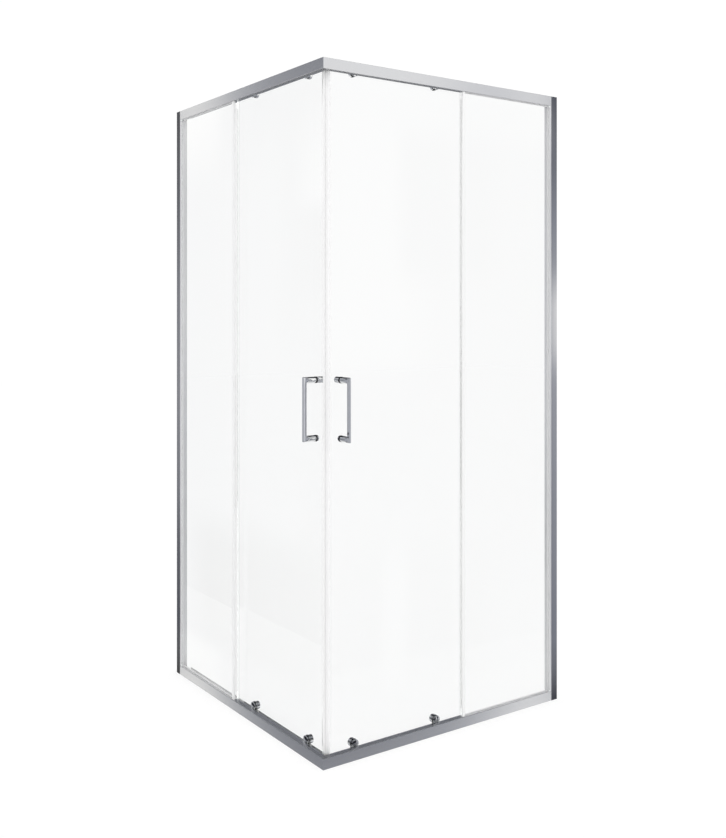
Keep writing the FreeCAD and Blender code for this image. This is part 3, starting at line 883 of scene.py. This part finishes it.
def mirrored(piece: bpy.types.Object, title: str) -> bpy.types.Object:
    """Copy a right-hand piece to the left-hand side.

    Args:
        piece: the finished right-hand piece.
        title: the copy's name.

    Returns:
        The copy, with its own mesh and its faces outwards.
    """
    copy = piece.copy()
    copy.data = piece.data.copy()
    copy.name = title
    copy.data.transform(MIRROR)
    copy.data.flip_normals()
    bpy.context.scene.collection.objects.link(copy)
    return copy


def paint(piece: bpy.types.Object, material: bpy.types.Material) -> None:
    """Give a piece one material in all its slots.

    Args:
        piece: the piece.
        material: its material.
    """
    if not piece.material_slots:
        piece.data.materials.append(material)
    for material_slot in piece.material_slots:
        material_slot.material = material


def soften(piece: bpy.types.Object, width: float, segments: int = 2) -> None:
    """Ease the edges of a carried-over node with live modifiers.

    Args:
        piece: the node's object.
        width: the easing's width.
        segments: how many faces the easing has.
    """
    weld = piece.modifiers.new("weld", "WELD")
    weld.merge_threshold = WELD_GAP
    bevel = piece.modifiers.new("easing", "BEVEL")
    bevel.width = width
    bevel.segments = segments
    bevel.limit_method = "ANGLE"
    bevel.angle_limit = math.radians(SHARP_ANGLE)
    bevel.use_clamp_overlap = True
    normals = piece.modifiers.new("normals", "WEIGHTED_NORMAL")
    normals.keep_sharp = False


def dress_node(node: str, material: bpy.types.Material, ease: float = 0.0) -> None:
    """Give one CAD node its material and, where asked, eased edges.

    Args:
        node: the node's name.
        material: its material.
        ease: the width of the easing, or 0 for none.
    """
    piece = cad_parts[node]
    paint(piece, material)
    if ease:
        soften(piece, ease)
    LOG.info("dressed %s", node)


class Palette:
    """Every finish of the enclosure as a material."""

    satin: Colour = (0.80, 0.80, 0.80)
    rail_gloss: float = 0.26
    cover_gloss: float = 0.3
    profile_gloss: float = 0.2
    # painted shade: the left profile's colour is a darker copy of the right one's
    profile_shaded_colours = {Side.RIGHT: (0.78, 0.78, 0.79), Side.LEFT: (0.4, 0.4, 0.41)}
    # painted shade at both ends of each upright, with a painted highlight between
    profile_shade_stops = {
        Side.RIGHT: ((0.0, 0.1), (0.1, 0.5), (0.5, 0.85), (0.65, 1.0), (0.8, 0.66), (1.0, 0.2)),
        Side.LEFT: ((0.0, 0.02), (0.1, 0.45), (0.5, 1.0), (0.67, 0.9), (1.0, 0.13)),
    }

    def __init__(self, effects: Effects, height: float) -> None:
        """Build the materials.

        Args:
            effects: the shared node groups.
            height: the height of the uprights.
        """
        pane_low, pane_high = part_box("fixed_glass_right")
        door_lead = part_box("door_glass_right")[0].x
        self.rail, self.sill, self.cover, self.profile, self.glass = {}, {}, {}, {}, {}
        for side in Side:
            run = side.run.value
            rail = AnodisedAluminium(side.name("satin_rail"), self.satin, self.rail_gloss, stretch=run)
            sill = SillAluminium(
                side.name("satin_sill"),
                self.satin,
                self.rail_gloss,
                stretch=run,
                inside=pane_high.y,
                opening=pane_low.x,
            )
            cover = AnodisedAluminium(side.name("slot_cover"), self.satin, self.cover_gloss, stretch=run)
            profile = BrightProfileWithPaintedShade(
                side.name("bright_profile_painted_shade"),
                self.profile_shaded_colours[side],
                self.profile_gloss,
                stops=self.profile_shade_stops[side],
                height=height,
            )
            self.rail[side] = rail.material(effects)
            self.sill[side] = sill.material(effects)
            self.cover[side] = cover.material(effects)
            self.profile[side] = profile.material(effects)
            self.glass[side] = ClearGlass(side.name("clear_glass"), side.across).material(effects)
        jamb = AnodisedAluminium("satin_jamb", (0.8, 0.8, 0.81), 0.3, stretch=Axis.Z.value, metal=0.45)
        self.jamb = jamb.material(effects)
        clip = GradedVinyl(
            "milky_vinyl", (0.97, 0.97, 0.975), measure=Measure.INWARD, limit=pane_high.y
        )
        self.vinyl = clip.material(effects)
        core = GradedVinyl("white_vinyl", (0.98, 0.98, 0.98), limit=door_lead)
        self.corner_vinyl = core.material(effects)
        self.clear_vinyl = ClearVinyl("clear_vinyl", (0.92, 0.92, 0.925), cover=0.06).material(effects)
        gasket = Moulded("pale_gasket", (0.85, 0.85, 0.86), 0.45, tones=(0.95, 1.05))
        self.gasket = gasket.material(effects)
        self.chrome = PolishedChrome("polished_chrome").material(effects)
        self.rubber = Moulded("black_rubber", (0.018, 0.018, 0.02), 0.5).material(effects)
        self.white = Moulded("white_nylon", (0.82, 0.82, 0.8), 0.4).material(effects)
        magnet = Moulded("magnet_strip", (0.96, 0.96, 0.96), 0.5, tones=(0.97, 1.03))
        self.magnet = magnet.material(effects)
        self.steel = TurnedSteel("turned_steel").material(effects)


@dataclass
class FixedFrame:
    """The frame that stands still: rails, uprights, fixed panes and what fastens them."""

    palette: Palette
    rail_ease: float = 0.5 * MM
    upright_ease: float = 0.4 * MM
    seal_ease: float = 0.35 * MM
    screw_ease: float = 0.15 * MM

    def dress(self) -> None:
        """Finish every node of the frame."""
        for side in Side:
            self.dress_rails(side)
            self.dress_uprights(side)
            self.dress_pane(side)
        self.dress_shared()

    def dress_rails(self, side: Side) -> None:
        """Finish one side's rails and slot covers.

        Args:
            side: which side.
        """
        dress_node(side.name("top_rail"), self.palette.rail[side], self.rail_ease)
        dress_node(side.name("bottom_rail"), self.palette.sill[side], self.rail_ease)
        dress_node(side.name("slot_covers"), self.palette.cover[side], self.seal_ease)

    def dress_uprights(self, side: Side) -> None:
        """Finish one side's wall profile and jamb."""
        dress_node(side.name("wall_profile"), self.palette.profile[side], self.upright_ease)
        dress_node(side.name("jamb"), self.palette.jamb, self.upright_ease)

    def dress_pane(self, side: Side) -> None:
        """Finish one side's fixed pane, its gasket and its edge seal.

        Args:
            side: which side.
        """
        dress_node(side.name("fixed_glass"), self.palette.glass[side])
        dress_node(side.name("glazing_gasket"), self.palette.gasket, self.seal_ease)
        dress_node(side.name("fixed_edge_seal"), self.palette.vinyl, self.seal_ease)

    def dress_shared(self) -> None:
        """Finish the joiners, the screws and the door stops."""
        for node in ("bottom_corner_joiner", "top_corner_joiner"):
            dress_node(node, self.palette.jamb, self.seal_ease)
        for node in ("rail_screws", "corner_screws", "jamb_screws"):
            dress_node(node, self.palette.steel, self.screw_ease)
        dress_node("door_stops", self.palette.rubber, self.seal_ease)


@dataclass
class SlidingDoor:
    """The moving panes with their seals and roller parts."""

    palette: Palette
    seal_ease: float = 0.4 * MM
    small_ease: float = 0.3 * MM

    def dress(self) -> None:
        """Finish the nodes of both doors."""
        for side in Side:
            self.dress_pane(side)
            self.dress_carriers(side)
            self.dress_wheels(side)

    def dress_pane(self, side: Side) -> None:
        """Finish one door's pane and seals.

        Args:
            side: which side.
        """
        dress_node(side.name("door_glass"), self.palette.glass[side])
        dress_node(side.name("magnetic_seal"), self.palette.corner_vinyl, self.seal_ease)
        dress_node(side.name("door_edge_seal"), self.palette.clear_vinyl, self.seal_ease)
        dress_node(side.name("magnet_strip"), self.palette.magnet, self.small_ease)

    def dress_carriers(self, side: Side) -> None:
        """Finish one door's roller carriers, bodies and pins.

        Args:
            side: which side.
        """
        for stem in ("upper_roller_carriers", "lower_roller_bodies", "lower_roller_retainers"):
            dress_node(side.name(stem), self.palette.chrome, self.small_ease)
        dress_node(side.name("upper_roller_pins"), self.palette.steel, self.small_ease)

    def dress_wheels(self, side: Side) -> None:
        """Finish one door's wheels and release arms.

        Args:
            side: which side.
        """
        for place in ("front", "rear"):
            dress_node(side.name(f"release_arm_{place}"), self.palette.steel, self.small_ease)
            for level in ("upper", "lower"):
                node = side.name(f"{level}_wheel_{place}")
                dress_node(node, self.palette.white, self.small_ease)


@dataclass(frozen=True)
class NewPiece:
    """A modelled right-hand piece, with the node that it replaces, its slot and its material."""

    stem: str
    body: bpy.types.Object
    slot: str
    material: bpy.types.Material


@dataclass
class PullHandle:
    """The pull on each door: bar, stems, washers and inner ends."""

    palette: Palette
    bar_width: float = 6.5 * MM
    bar_depth: float = 13.0 * MM
    bar_round: float = 3.0 * MM
    bar_segments: int = 5
    neck: float = 7.0 * MM
    neck_steps: int = 4
    hold: float = 0.3 * MM
    lip: float = 0.5 * MM
    lip_share: float = 0.95
    collar: float = 2.0 * MM
    groove: float = 0.6 * MM
    groove_place: float = 5.0 * MM
    knob_ease: float = 0.3 * MM
    cap_chamfer: float = 1.0 * MM
    dish_rim: float = 2.2 * MM
    dish_foot: float = 3.2 * MM
    dish_depth: float = 0.4 * MM
    cap_ease: float = 0.25 * MM
    washer_lip: float = 0.35 * MM
    washer_ease: float = 0.2 * MM
    ease_angle: float = 25.0
    end_facing: float = -0.9

    def build(self) -> None:
        """Model the right-hand pull and mirror it."""
        for part in (self.pull(), self.knob(), self.cap(), self.washers()):
            paint(part.body, part.material)
            for side in Side:
                title = side.name(part.stem + "_piece")
                made = part.body if side is Side.RIGHT else mirrored(part.body, title)
                made.name = title
                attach(made, side.name("door"))
                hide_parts(side.name(part.stem))
                LOG.info("modelled %s", title)

    def pull(self) -> NewPiece:
        """Model the bar with its two stems.

        Returns:
            The pull.
        """
        low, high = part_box("handle_right")
        upper = self.centre("handle_inner_knob_right")
        lower = self.centre("handle_inner_cap_right")
        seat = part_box("handle_washers_right")[0].y
        stem_r = high.z - upper.z
        bar_half = self.bar_width / 2.0
        bar_low = Vector((upper.x - bar_half, low.y, low.z))
        bar_high = Vector((upper.x + bar_half, low.y + self.bar_depth, high.z))
        bar = block("bar", bar_low, bar_high)
        rounded(bar, self.bar_round, segments=self.bar_segments)
        inside = low.y + self.bar_depth / 2.0
        stems = [self.stem(hub, inside, seat, bar_half, stem_r) for hub in (upper, lower)]
        united(bar, stems)
        smoothed(bar)
        return NewPiece("handle", bar, "chrome", self.palette.chrome)

    def stem(
        self, hub: Vector, inside: float, seat: float, bar_half: float, radius: float
    ) -> bpy.types.Object:
        """Model one stem, flattened into the bar.

        Args:
            hub: a point on the stem's axis.
            inside: the depth at which the stem ends within the bar.
            seat: the depth of the washer that it stands on.
            bar_half: half the bar's width.
            radius: the stem's radius at the washer.

        Returns:
            The stem.
        """
        neck = inside + self.neck
        lip = seat - self.lip
        profile = [
            (seat, radius * self.lip_share),
            (lip, radius),
            (lip - self.hold, radius),
            (neck + self.hold, radius),
            (neck, radius),
        ]
        stem = turned("stem", hub.x, hub.z, profile)
        loss = 1.0 - bar_half / radius
        steps = self.neck_steps
        widths = [1.0 - loss * self.smooth_step(index / steps) for index in range(steps + 1)]
        move = (inside - neck) / steps
        with editing(stem):
            pick_faces(stem, lambda face: face.normal.y < self.end_facing)
            for before, after in zip(widths, widths[1:]):
                bpy.ops.mesh.extrude_region_move(TRANSFORM_OT_translate={"value": (0.0, move, 0.0)})
                bpy.ops.transform.resize(value=(after / before, 1.0, 1.0), center_override=hub)
        outward(stem)
        return stem

    @staticmethod
    def smooth_step(share: float) -> float:
        """Return a smooth step from 0 to 1."""
        return share * share * (3.0 - 2.0 * share)

    @staticmethod
    def centre(node: str) -> Vector:
        """Return the middle of a node's box."""
        low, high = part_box(node)
        return (low + high) / 2.0

    def knob(self) -> NewPiece:
        """Model the inner knob with its turned groove and chamfered end.

        Returns:
            The knob.
        """
        low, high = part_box("handle_inner_knob_right")
        hub = (low + high) / 2.0
        radius = high.z - hub.z
        groove = high.y - self.groove_place
        profile = [
            (low.y, radius),
            (groove - self.groove, radius),
            (groove, radius - self.groove),
            (groove + self.groove, radius),
            (high.y - self.collar, radius),
            (high.y, radius - self.collar),
        ]
        piece = turned("knob", hub.x, hub.z, profile)
        rounded(piece, self.knob_ease, angle=self.ease_angle)
        return NewPiece("handle_inner_knob", piece, "chrome", self.palette.chrome)

    def cap(self) -> NewPiece:
        """Model the low inner cap with its dished face.

        Returns:
            The cap.
        """
        low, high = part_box("handle_inner_cap_right")
        hub = (low + high) / 2.0
        radius = high.z - hub.z
        profile = [
            (low.y, radius),
            (high.y - self.cap_chamfer, radius),
            (high.y, radius - self.cap_chamfer),
            (high.y, radius - self.dish_rim),
            (high.y - self.dish_depth, radius - self.dish_foot),
        ]
        piece = turned("cap", hub.x, hub.z, profile)
        rounded(piece, self.cap_ease, angle=self.ease_angle)
        return NewPiece("handle_inner_cap", piece, "chrome", self.palette.chrome)

    def washers(self) -> NewPiece:
        """Model the four rubber washers with rounded rims.

        Returns:
            The washers as one piece.
        """
        low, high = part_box("handle_washers_right")
        pane_low, pane_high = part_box("door_glass_right")
        radius = (high.x - low.x) / 2.0
        lip = radius - self.washer_lip
        rings = []
        for node in ("handle_inner_knob_right", "handle_inner_cap_right"):
            hub = self.centre(node)
            for start, end in ((low.y, pane_low.y), (pane_high.y, high.y)):
                profile = [(start, lip), ((start + end) / 2.0, radius), (end, lip)]
                rings.append(turned("ring", hub.x, hub.z, profile))
        piece = joined("washers", rings)
        rounded(piece, self.washer_ease, angle=self.ease_angle)
        return NewPiece("handle_washers", piece, "black_rubber", self.palette.rubber)


@dataclass
class RollerCaps:
    """The bright round caps on the outer face of the doors."""

    palette: Palette
    dome: float = 4.0 * MM
    dome_steps: int = 8
    foot: float = 1.0 * MM
    foot_share: float = 0.9
    shoulder: float = 1.4 * MM
    ease: float = 0.2 * MM

    def build(self) -> None:
        """Model one door's caps and mirror them."""
        low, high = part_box("roller_caps_right")
        radius = self.radius()
        hubs = [
            (x, z)
            for x in (low.x + radius, high.x - radius)
            for z in (low.z + radius, high.z - radius)
        ]
        caps = [self.cap(x, z, low.y, high.y, radius) for x, z in hubs]
        piece = joined("roller_caps_right_piece", caps)
        paint(piece, self.palette.chrome)
        for side in Side:
            title = side.name("roller_caps") + "_piece"
            made = piece if side is Side.RIGHT else mirrored(piece, title)
            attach(made, side.name("door"))
            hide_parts(side.name("roller_caps"))
            LOG.info("modelled %s", title)

    @staticmethod
    def radius() -> float:
        """Find a cap's radius, from the lowest cap's foot up to the middle of its roller body.

        Returns:
            The radius.
        """
        low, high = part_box("lower_roller_bodies_right")
        hub = (low.z + high.z) / 2.0
        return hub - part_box("roller_caps_right")[0].z

    def cap(self, x: float, z: float, face: float, seat: float, radius: float) -> bpy.types.Object:
        """Model one cap with its stepped foot and domed face.

        Args:
            x: the cap's place along the panel.
            z: its height.
            face: the depth of its outer face.
            seat: the depth of the glass that it stands on.
            radius: its radius.

        Returns:
            The cap.
        """
        profile = [
            (seat, radius * self.foot_share),
            (seat - self.foot, radius * self.foot_share),
            (seat - self.shoulder, radius),
        ]
        for index in range(self.dome_steps):
            turn = math.pi / 2.0 * index / self.dome_steps
            profile.append((face + self.dome * (1.0 - math.sin(turn)), radius * math.cos(turn)))
        cap = turned("cap", x, z, profile)
        rounded(cap, self.ease)
        return cap


@dataclass(frozen=True)
class Band:
    """A level band of a card: the height at which it starts, its greys along the card, its fade."""

    start: float
    stops: Pairs
    fade: float = 0.08


@dataclass(frozen=True)
class Card:
    """An upright studio card that only mirror rays see."""

    title: str
    corner: Vector
    span: Vector
    bands: tuple[Band, ...]
    low: float = -4.0
    high: float = 6.0

    def build(self) -> None:
        """Add the card to the stage."""
        deselect()
        bpy.ops.mesh.primitive_plane_add(size=1.0)
        card = bpy.context.object
        card.name = self.title
        origin = Vector((self.corner.x, self.corner.y, self.low))
        rise = Vector((0.0, 0.0, self.high - self.low))
        corners = (origin, origin + self.span, origin + rise, origin + self.span + rise)
        for vertex, corner in zip(card.data.vertices, corners):
            vertex.co = corner
        paint(card, self.material())

    def material(self) -> bpy.types.Material:
        """Build a glow with one ramp of greys for each height band.

        Returns:
            The glow as a material.
        """
        shader = Shader(self.title)
        shader.tree.nodes.remove(shader.surface)
        along = shader.add("ShaderNodeVectorMath", operation="DOT_PRODUCT")
        along.inputs[1].default_value = self.span / self.span.length_squared
        offset = shader.add("ShaderNodeVectorMath", operation="SUBTRACT")
        offset.inputs[1].default_value = self.corner
        shader.join(shader.place(EVEN), offset.inputs[0])
        shader.join(offset.outputs["Vector"], along.inputs[0])
        level = shader.axes().outputs["Z"]
        whole = None
        for band in self.bands:
            ramp = tone_ramp(shader, [(self.share(where), grey) for where, grey in band.stops])
            shader.join(along.outputs["Value"], ramp.inputs["Fac"])
            tone = ramp.outputs["Color"]
            whole = self.stack(shader, level, band, whole, tone) if whole else tone
        glow = shader.add("ShaderNodeEmission")
        shader.join(whole, glow.inputs["Color"])
        show_to_mirrors(shader, glow)
        return shader.material

    def share(self, where: float) -> float:
        """Return a place along the card as a share of its length."""
        return where / self.span.length

    @staticmethod
    def stack(
        shader: Shader,
        level: bpy.types.NodeSocket,
        band: Band,
        below: bpy.types.NodeSocket,
        above: bpy.types.NodeSocket,
    ) -> bpy.types.NodeSocket:
        """Fade into a band from what lies below it.

        Args:
            shader: the card's material.
            level: the socket that gives the height.
            band: the band that starts here.
            below: the colour up to the band.
            above: the band's own colour.

        Returns:
            The socket that gives the colour.
        """
        fade = shader.add("ShaderNodeMapRange", interpolation_type="SMOOTHSTEP")
        fade.inputs["From Min"].default_value = band.start - band.fade
        fade.inputs["From Max"].default_value = band.start + band.fade
        shader.join(level, fade.inputs["Value"])
        mix = shader.add("ShaderNodeMix", data_type="RGBA")
        shader.join(fade.outputs["Result"], mix.inputs["Factor"])
        shader.join(below, mix.inputs["A"])
        shader.join(above, mix.inputs["B"])
        return mix.outputs["Result"]


@dataclass
class Studio:
    """The pale floor, the soft light, the cards and the camera."""

    image_height: float = 838.0
    focal_pixels: float = 1003.5
    image_width: float = 726.0
    middle_pixel: float = 326.9
    horizon_pixel: float = 314.9
    sensor: float = 36.0
    heading: float = -34.16
    camera_offset: tuple[float, float, float] = (-1.4918, -2.2153, 1.2128)
    floor_size: float = 30.0
    floor_white: Colour = (0.9, 0.9, 0.9)
    floor_shadow: Colour = (0.16, 0.16, 0.16)
    floor_glow: float = 0.86
    floor_roughness: float = 0.9
    backdrop_tone: float = 1.022
    lamp_width: float = 3.0
    lamp_depth: float = 2.0
    lamp_energy: float = 4.0
    lamp_place: tuple[float, float, float] = (-1.2, -1.8, 3.6)
    sheet_size: float = 12.0
    ceiling_height: float = 5.0
    ceiling_grey: float = 0.012
    ground_height: float = -1.5
    ground_grey: float = 0.3
    card_gap: float = 0.5
    card_start: float = -1.0
    card_reach: float = 4.0
    back_width: float = 6.0
    back_distance: float = 3.0
    back_greys: Pairs = ((-4.0, 1.0), (-0.5, 0.012), (0.8, 0.26), (2.2, 0.012))

    def build(self) -> None:
        """Set the stage."""
        self.set_world()
        self.lay_floor()
        self.hang_lamp()
        self.hang_sheet("ceiling", self.ceiling_height, self.ceiling_grey)
        self.hang_sheet("ground", self.ground_height, self.ground_grey)
        for card in self.cards():
            card.build()
        self.place_camera()

    def set_world(self) -> None:
        """Surround the object with even white light, and match the backdrop to the floor."""
        scene = bpy.context.scene
        scene.view_settings.view_transform = "Standard"
        world = bpy.data.worlds.new("white_cove")
        world.use_nodes = True
        tree = world.node_tree
        background = tree.nodes["Background"]
        background.inputs["Color"].default_value = (1.0, 1.0, 1.0, 1.0)
        strength = tree.nodes.new("ShaderNodeMapRange")
        strength.inputs["To Min"].default_value = 1.0
        strength.inputs["To Max"].default_value = self.backdrop_tone
        tree.links.new(seen_directly(tree), strength.inputs["Value"])
        tree.links.new(strength.outputs["Result"], background.inputs["Strength"])
        scene.world = world

    def lay_floor(self) -> None:
        """Lay a white floor that keeps the soft shadow."""
        deselect()
        bpy.ops.mesh.primitive_plane_add(size=self.floor_size, location=(0.0, 0.0, CAD_BOX[0].z))
        floor = bpy.context.object
        floor.name = "floor"
        bpy.ops.object.transform_apply(location=True, rotation=True, scale=True)
        paint(floor, self.floor_material())
        floor.visible_glossy = False

    def floor_material(self) -> bpy.types.Material:
        """Build a white that lies a little over full tone wherever no shadow falls.

        Returns:
            The white as a material.
        """
        shader = Shader("white_floor")
        shader.set(Roughness=self.floor_roughness, Specular_IOR_Level=0.0)
        direct = seen_directly(shader.tree)
        shader.feed("Base Color", shader.tint(direct, self.floor_white, self.floor_shadow))
        shader.set(Emission_Color=(1.0, 1.0, 1.0, 1.0))
        shader.feed("Emission Strength", shader.spread(direct, 0.0, self.floor_glow))
        shader.material.cycles.emission_sampling = "NONE"
        return shader.material

    def hang_lamp(self) -> None:
        """Hang one broad soft lamp over the front of the object."""
        lamp = bpy.data.lights.new("soft_lamp", "AREA")
        lamp.shape = "RECTANGLE"
        lamp.size = self.lamp_width
        lamp.size_y = self.lamp_depth
        lamp.energy = self.lamp_energy
        holder = bpy.data.objects.new("soft_lamp", lamp)
        holder.location = self.lamp_place
        holder.rotation_euler = (-holder.location).to_track_quat("-Z", "Y").to_euler()
        holder.visible_glossy = False
        bpy.context.scene.collection.objects.link(holder)

    def hang_sheet(self, title: str, height: float, grey: float) -> None:
        """Hang a level sheet of one grey that only mirror rays see.

        Args:
            title: the sheet's name.
            height: the height at which it hangs.
            grey: its grey.
        """
        deselect()
        bpy.ops.mesh.primitive_plane_add(size=self.sheet_size, location=(0.0, 0.0, height))
        sheet = bpy.context.object
        sheet.name = title
        bpy.ops.object.transform_apply(location=True, rotation=True, scale=True)
        shader = Shader(title)
        shader.tree.nodes.remove(shader.surface)
        glow = shader.add("ShaderNodeEmission")
        glow.inputs["Color"].default_value = (*cooled(grey), 1.0)
        show_to_mirrors(shader, glow)
        paint(sheet, shader.material)

    def cards(self) -> list[Card]:
        """Plan the cards that shade the metal and the glass.

        Returns:
            The left, the right and the back card.
        """
        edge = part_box("bottom_rail_right")[0].y - self.card_gap
        along_y = Vector((0.0, self.card_reach, 0.0))
        along_x = Vector((self.card_reach, 0.0, 0.0))
        left = Card("left_card", Vector((edge, self.card_start, 0.0)), along_y, self.left_bands())
        right = Card("right_card", Vector((self.card_start, edge, 0.0)), along_x, self.right_bands())
        return [left, right, self.back_card()]

    def left_bands(self) -> tuple[Band, ...]:
        """Plan the left card's greys, as places along the card and tones.

        Returns:
            The bands, from the lowest up.
        """
        end = (self.card_reach, 0.5)
        tail = ((2.45, 0.65), (2.465, 0.5), end)
        snow = ((0.0, 1.0), (self.card_reach, 1.0))
        dusk = (
            (0.0, 0.45), (0.5, 0.4), (0.8, 0.24), (1.35, 0.25), (1.6, 0.28), (1.9, 0.37),
            (2.04, 0.53), (2.16, 1.12), (2.45, 1.25), (2.465, 0.5), end,
        )
        night = ((0.0, 0.02), (2.2, 0.02), (2.4, 0.5), end)
        foot = ((0.0, 0.36), (1.42, 0.38), (1.6, 0.6), *tail)
        pull = (
            (0.0, 0.36), (1.24, 0.36), (1.27, 0.52), (1.32, 0.52), (1.38, 0.41), (1.425, 0.41),
            (1.5, 0.6), *tail,
        )
        haze = ((0.0, 0.36), (1.6, 0.38), (1.75, 0.6), *tail)
        murk = ((0.0, 0.02), (1.3, 0.02), (1.6, 0.38), (1.75, 0.6), *tail)
        gleam = ((0.0, 0.02), (0.75, 0.02), (0.9, 1.0), (1.4, 1.0), (1.6, 0.4), (1.75, 0.6), *tail)
        return (
            Band(-4.0, snow),
            Band(-0.7, dusk, 0.08),
            Band(-0.2, night, 0.05),
            Band(0.33, foot, 0.12),
            Band(0.72, pull),
            Band(1.05, haze, 0.3),
            Band(1.3, murk),
            Band(1.62, gleam, 0.05),
            Band(1.9, dusk, 0.2),
        )

    def right_bands(self) -> tuple[Band, ...]:
        """Plan the right card's greys, as places along the card and tones.

        Returns:
            The bands, from the lowest up.
        """
        end = (self.card_reach, 0.5)
        tail = ((1.94, 0.4), (1.96, 0.5), end)
        snow = ((0.0, 1.0), (self.card_reach, 1.0))
        shade = (
            (0.0, 0.45), (0.5, 0.4), (0.8, 0.25), (1.2, 0.3), (1.43, 0.34), (1.6, 0.56),
            (1.82, 0.91), (1.95, 1.0), (1.965, 0.5), end,
        )
        gloom = (
            (0.0, 0.02), (1.17, 0.02), (1.2, 0.8), (1.28, 0.8), (1.31, 0.02), (1.55, 0.02),
            (1.75, 0.4), (1.96, 0.5), end,
        )
        base = ((0.0, 0.4), *tail)
        grip = (
            (0.0, 0.4), (0.84, 0.5), (0.928, 0.5), (0.938, 1.15), (0.962, 1.15), (0.98, 0.4), *tail,
        )
        flash = (
            (0.0, 0.4), (0.86, 0.6), (0.88, 1.15), (1.25, 1.15), (1.45, 0.4), (1.94, 0.4),
            (1.96, 1.0), (self.card_reach, 1.0),
        )
        mist = (
            (0.0, 0.02), (0.86, 0.02), (0.88, 1.15), (1.22, 1.15), (1.3, 0.02), (1.6, 0.02),
            (1.75, 0.4), *tail,
        )
        light = (
            (0.0, 0.86), (1.4, 0.88), (1.6, 0.72), (1.75, 0.76), (1.86, 0.95), (1.95, 1.0),
            (1.965, 0.5), end,
        )
        return (
            Band(-4.0, snow),
            Band(-0.46, shade, 0.06),
            Band(-0.1, gloom, 0.05),
            Band(0.4, base, 0.12),
            Band(0.72, grip),
            Band(1.03, flash, 0.09),
            Band(1.34, mist, 0.09),
            Band(1.86, light),
        )

    def back_card(self) -> Card:
        """Plan the card behind the object, square to the camera's heading.

        Returns:
            The card, with one grey in each band.
        """
        turn = math.radians(self.heading)
        forward = Vector((-math.sin(turn), math.cos(turn), 0.0))
        across = Vector((forward.y, -forward.x, 0.0))
        corner = forward * self.back_distance - across * self.back_width / 2.0
        bands = [Band(start, ((0.0, grey), (self.back_width, grey))) for start, grey in self.back_greys]
        return Card("back_card", corner, across * self.back_width, tuple(bands))

    def place_camera(self) -> None:
        """Stand the camera where the photograph was taken."""
        lens = bpy.data.cameras.new("camera")
        lens.sensor_width = self.sensor
        lens.lens = self.focal_pixels * self.sensor / self.image_height
        lens.shift_x = (self.image_width / 2.0 - self.middle_pixel) / self.image_height
        lens.shift_y = (self.horizon_pixel - self.image_height / 2.0) / self.image_height
        camera = bpy.data.objects.new("camera", lens)
        camera.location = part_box("bottom_rail_right")[0] + Vector(self.camera_offset)
        camera.rotation_euler = (math.pi / 2.0, 0.0, math.radians(self.heading))
        bpy.context.scene.collection.objects.link(camera)
        bpy.context.scene.camera = camera


def main() -> None:
    """Build the classes in order and report each piece."""
    logging.basicConfig(level=logging.INFO, format="%(name)s: %(message)s")
    palette = Palette(Effects(), CAD_BOX[1].z)
    Studio().build()
    FixedFrame(palette).dress()
    SlidingDoor(palette).dress()
    PullHandle(palette).build()
    RollerCaps(palette).build()


if __name__ == "__main__":
    main()
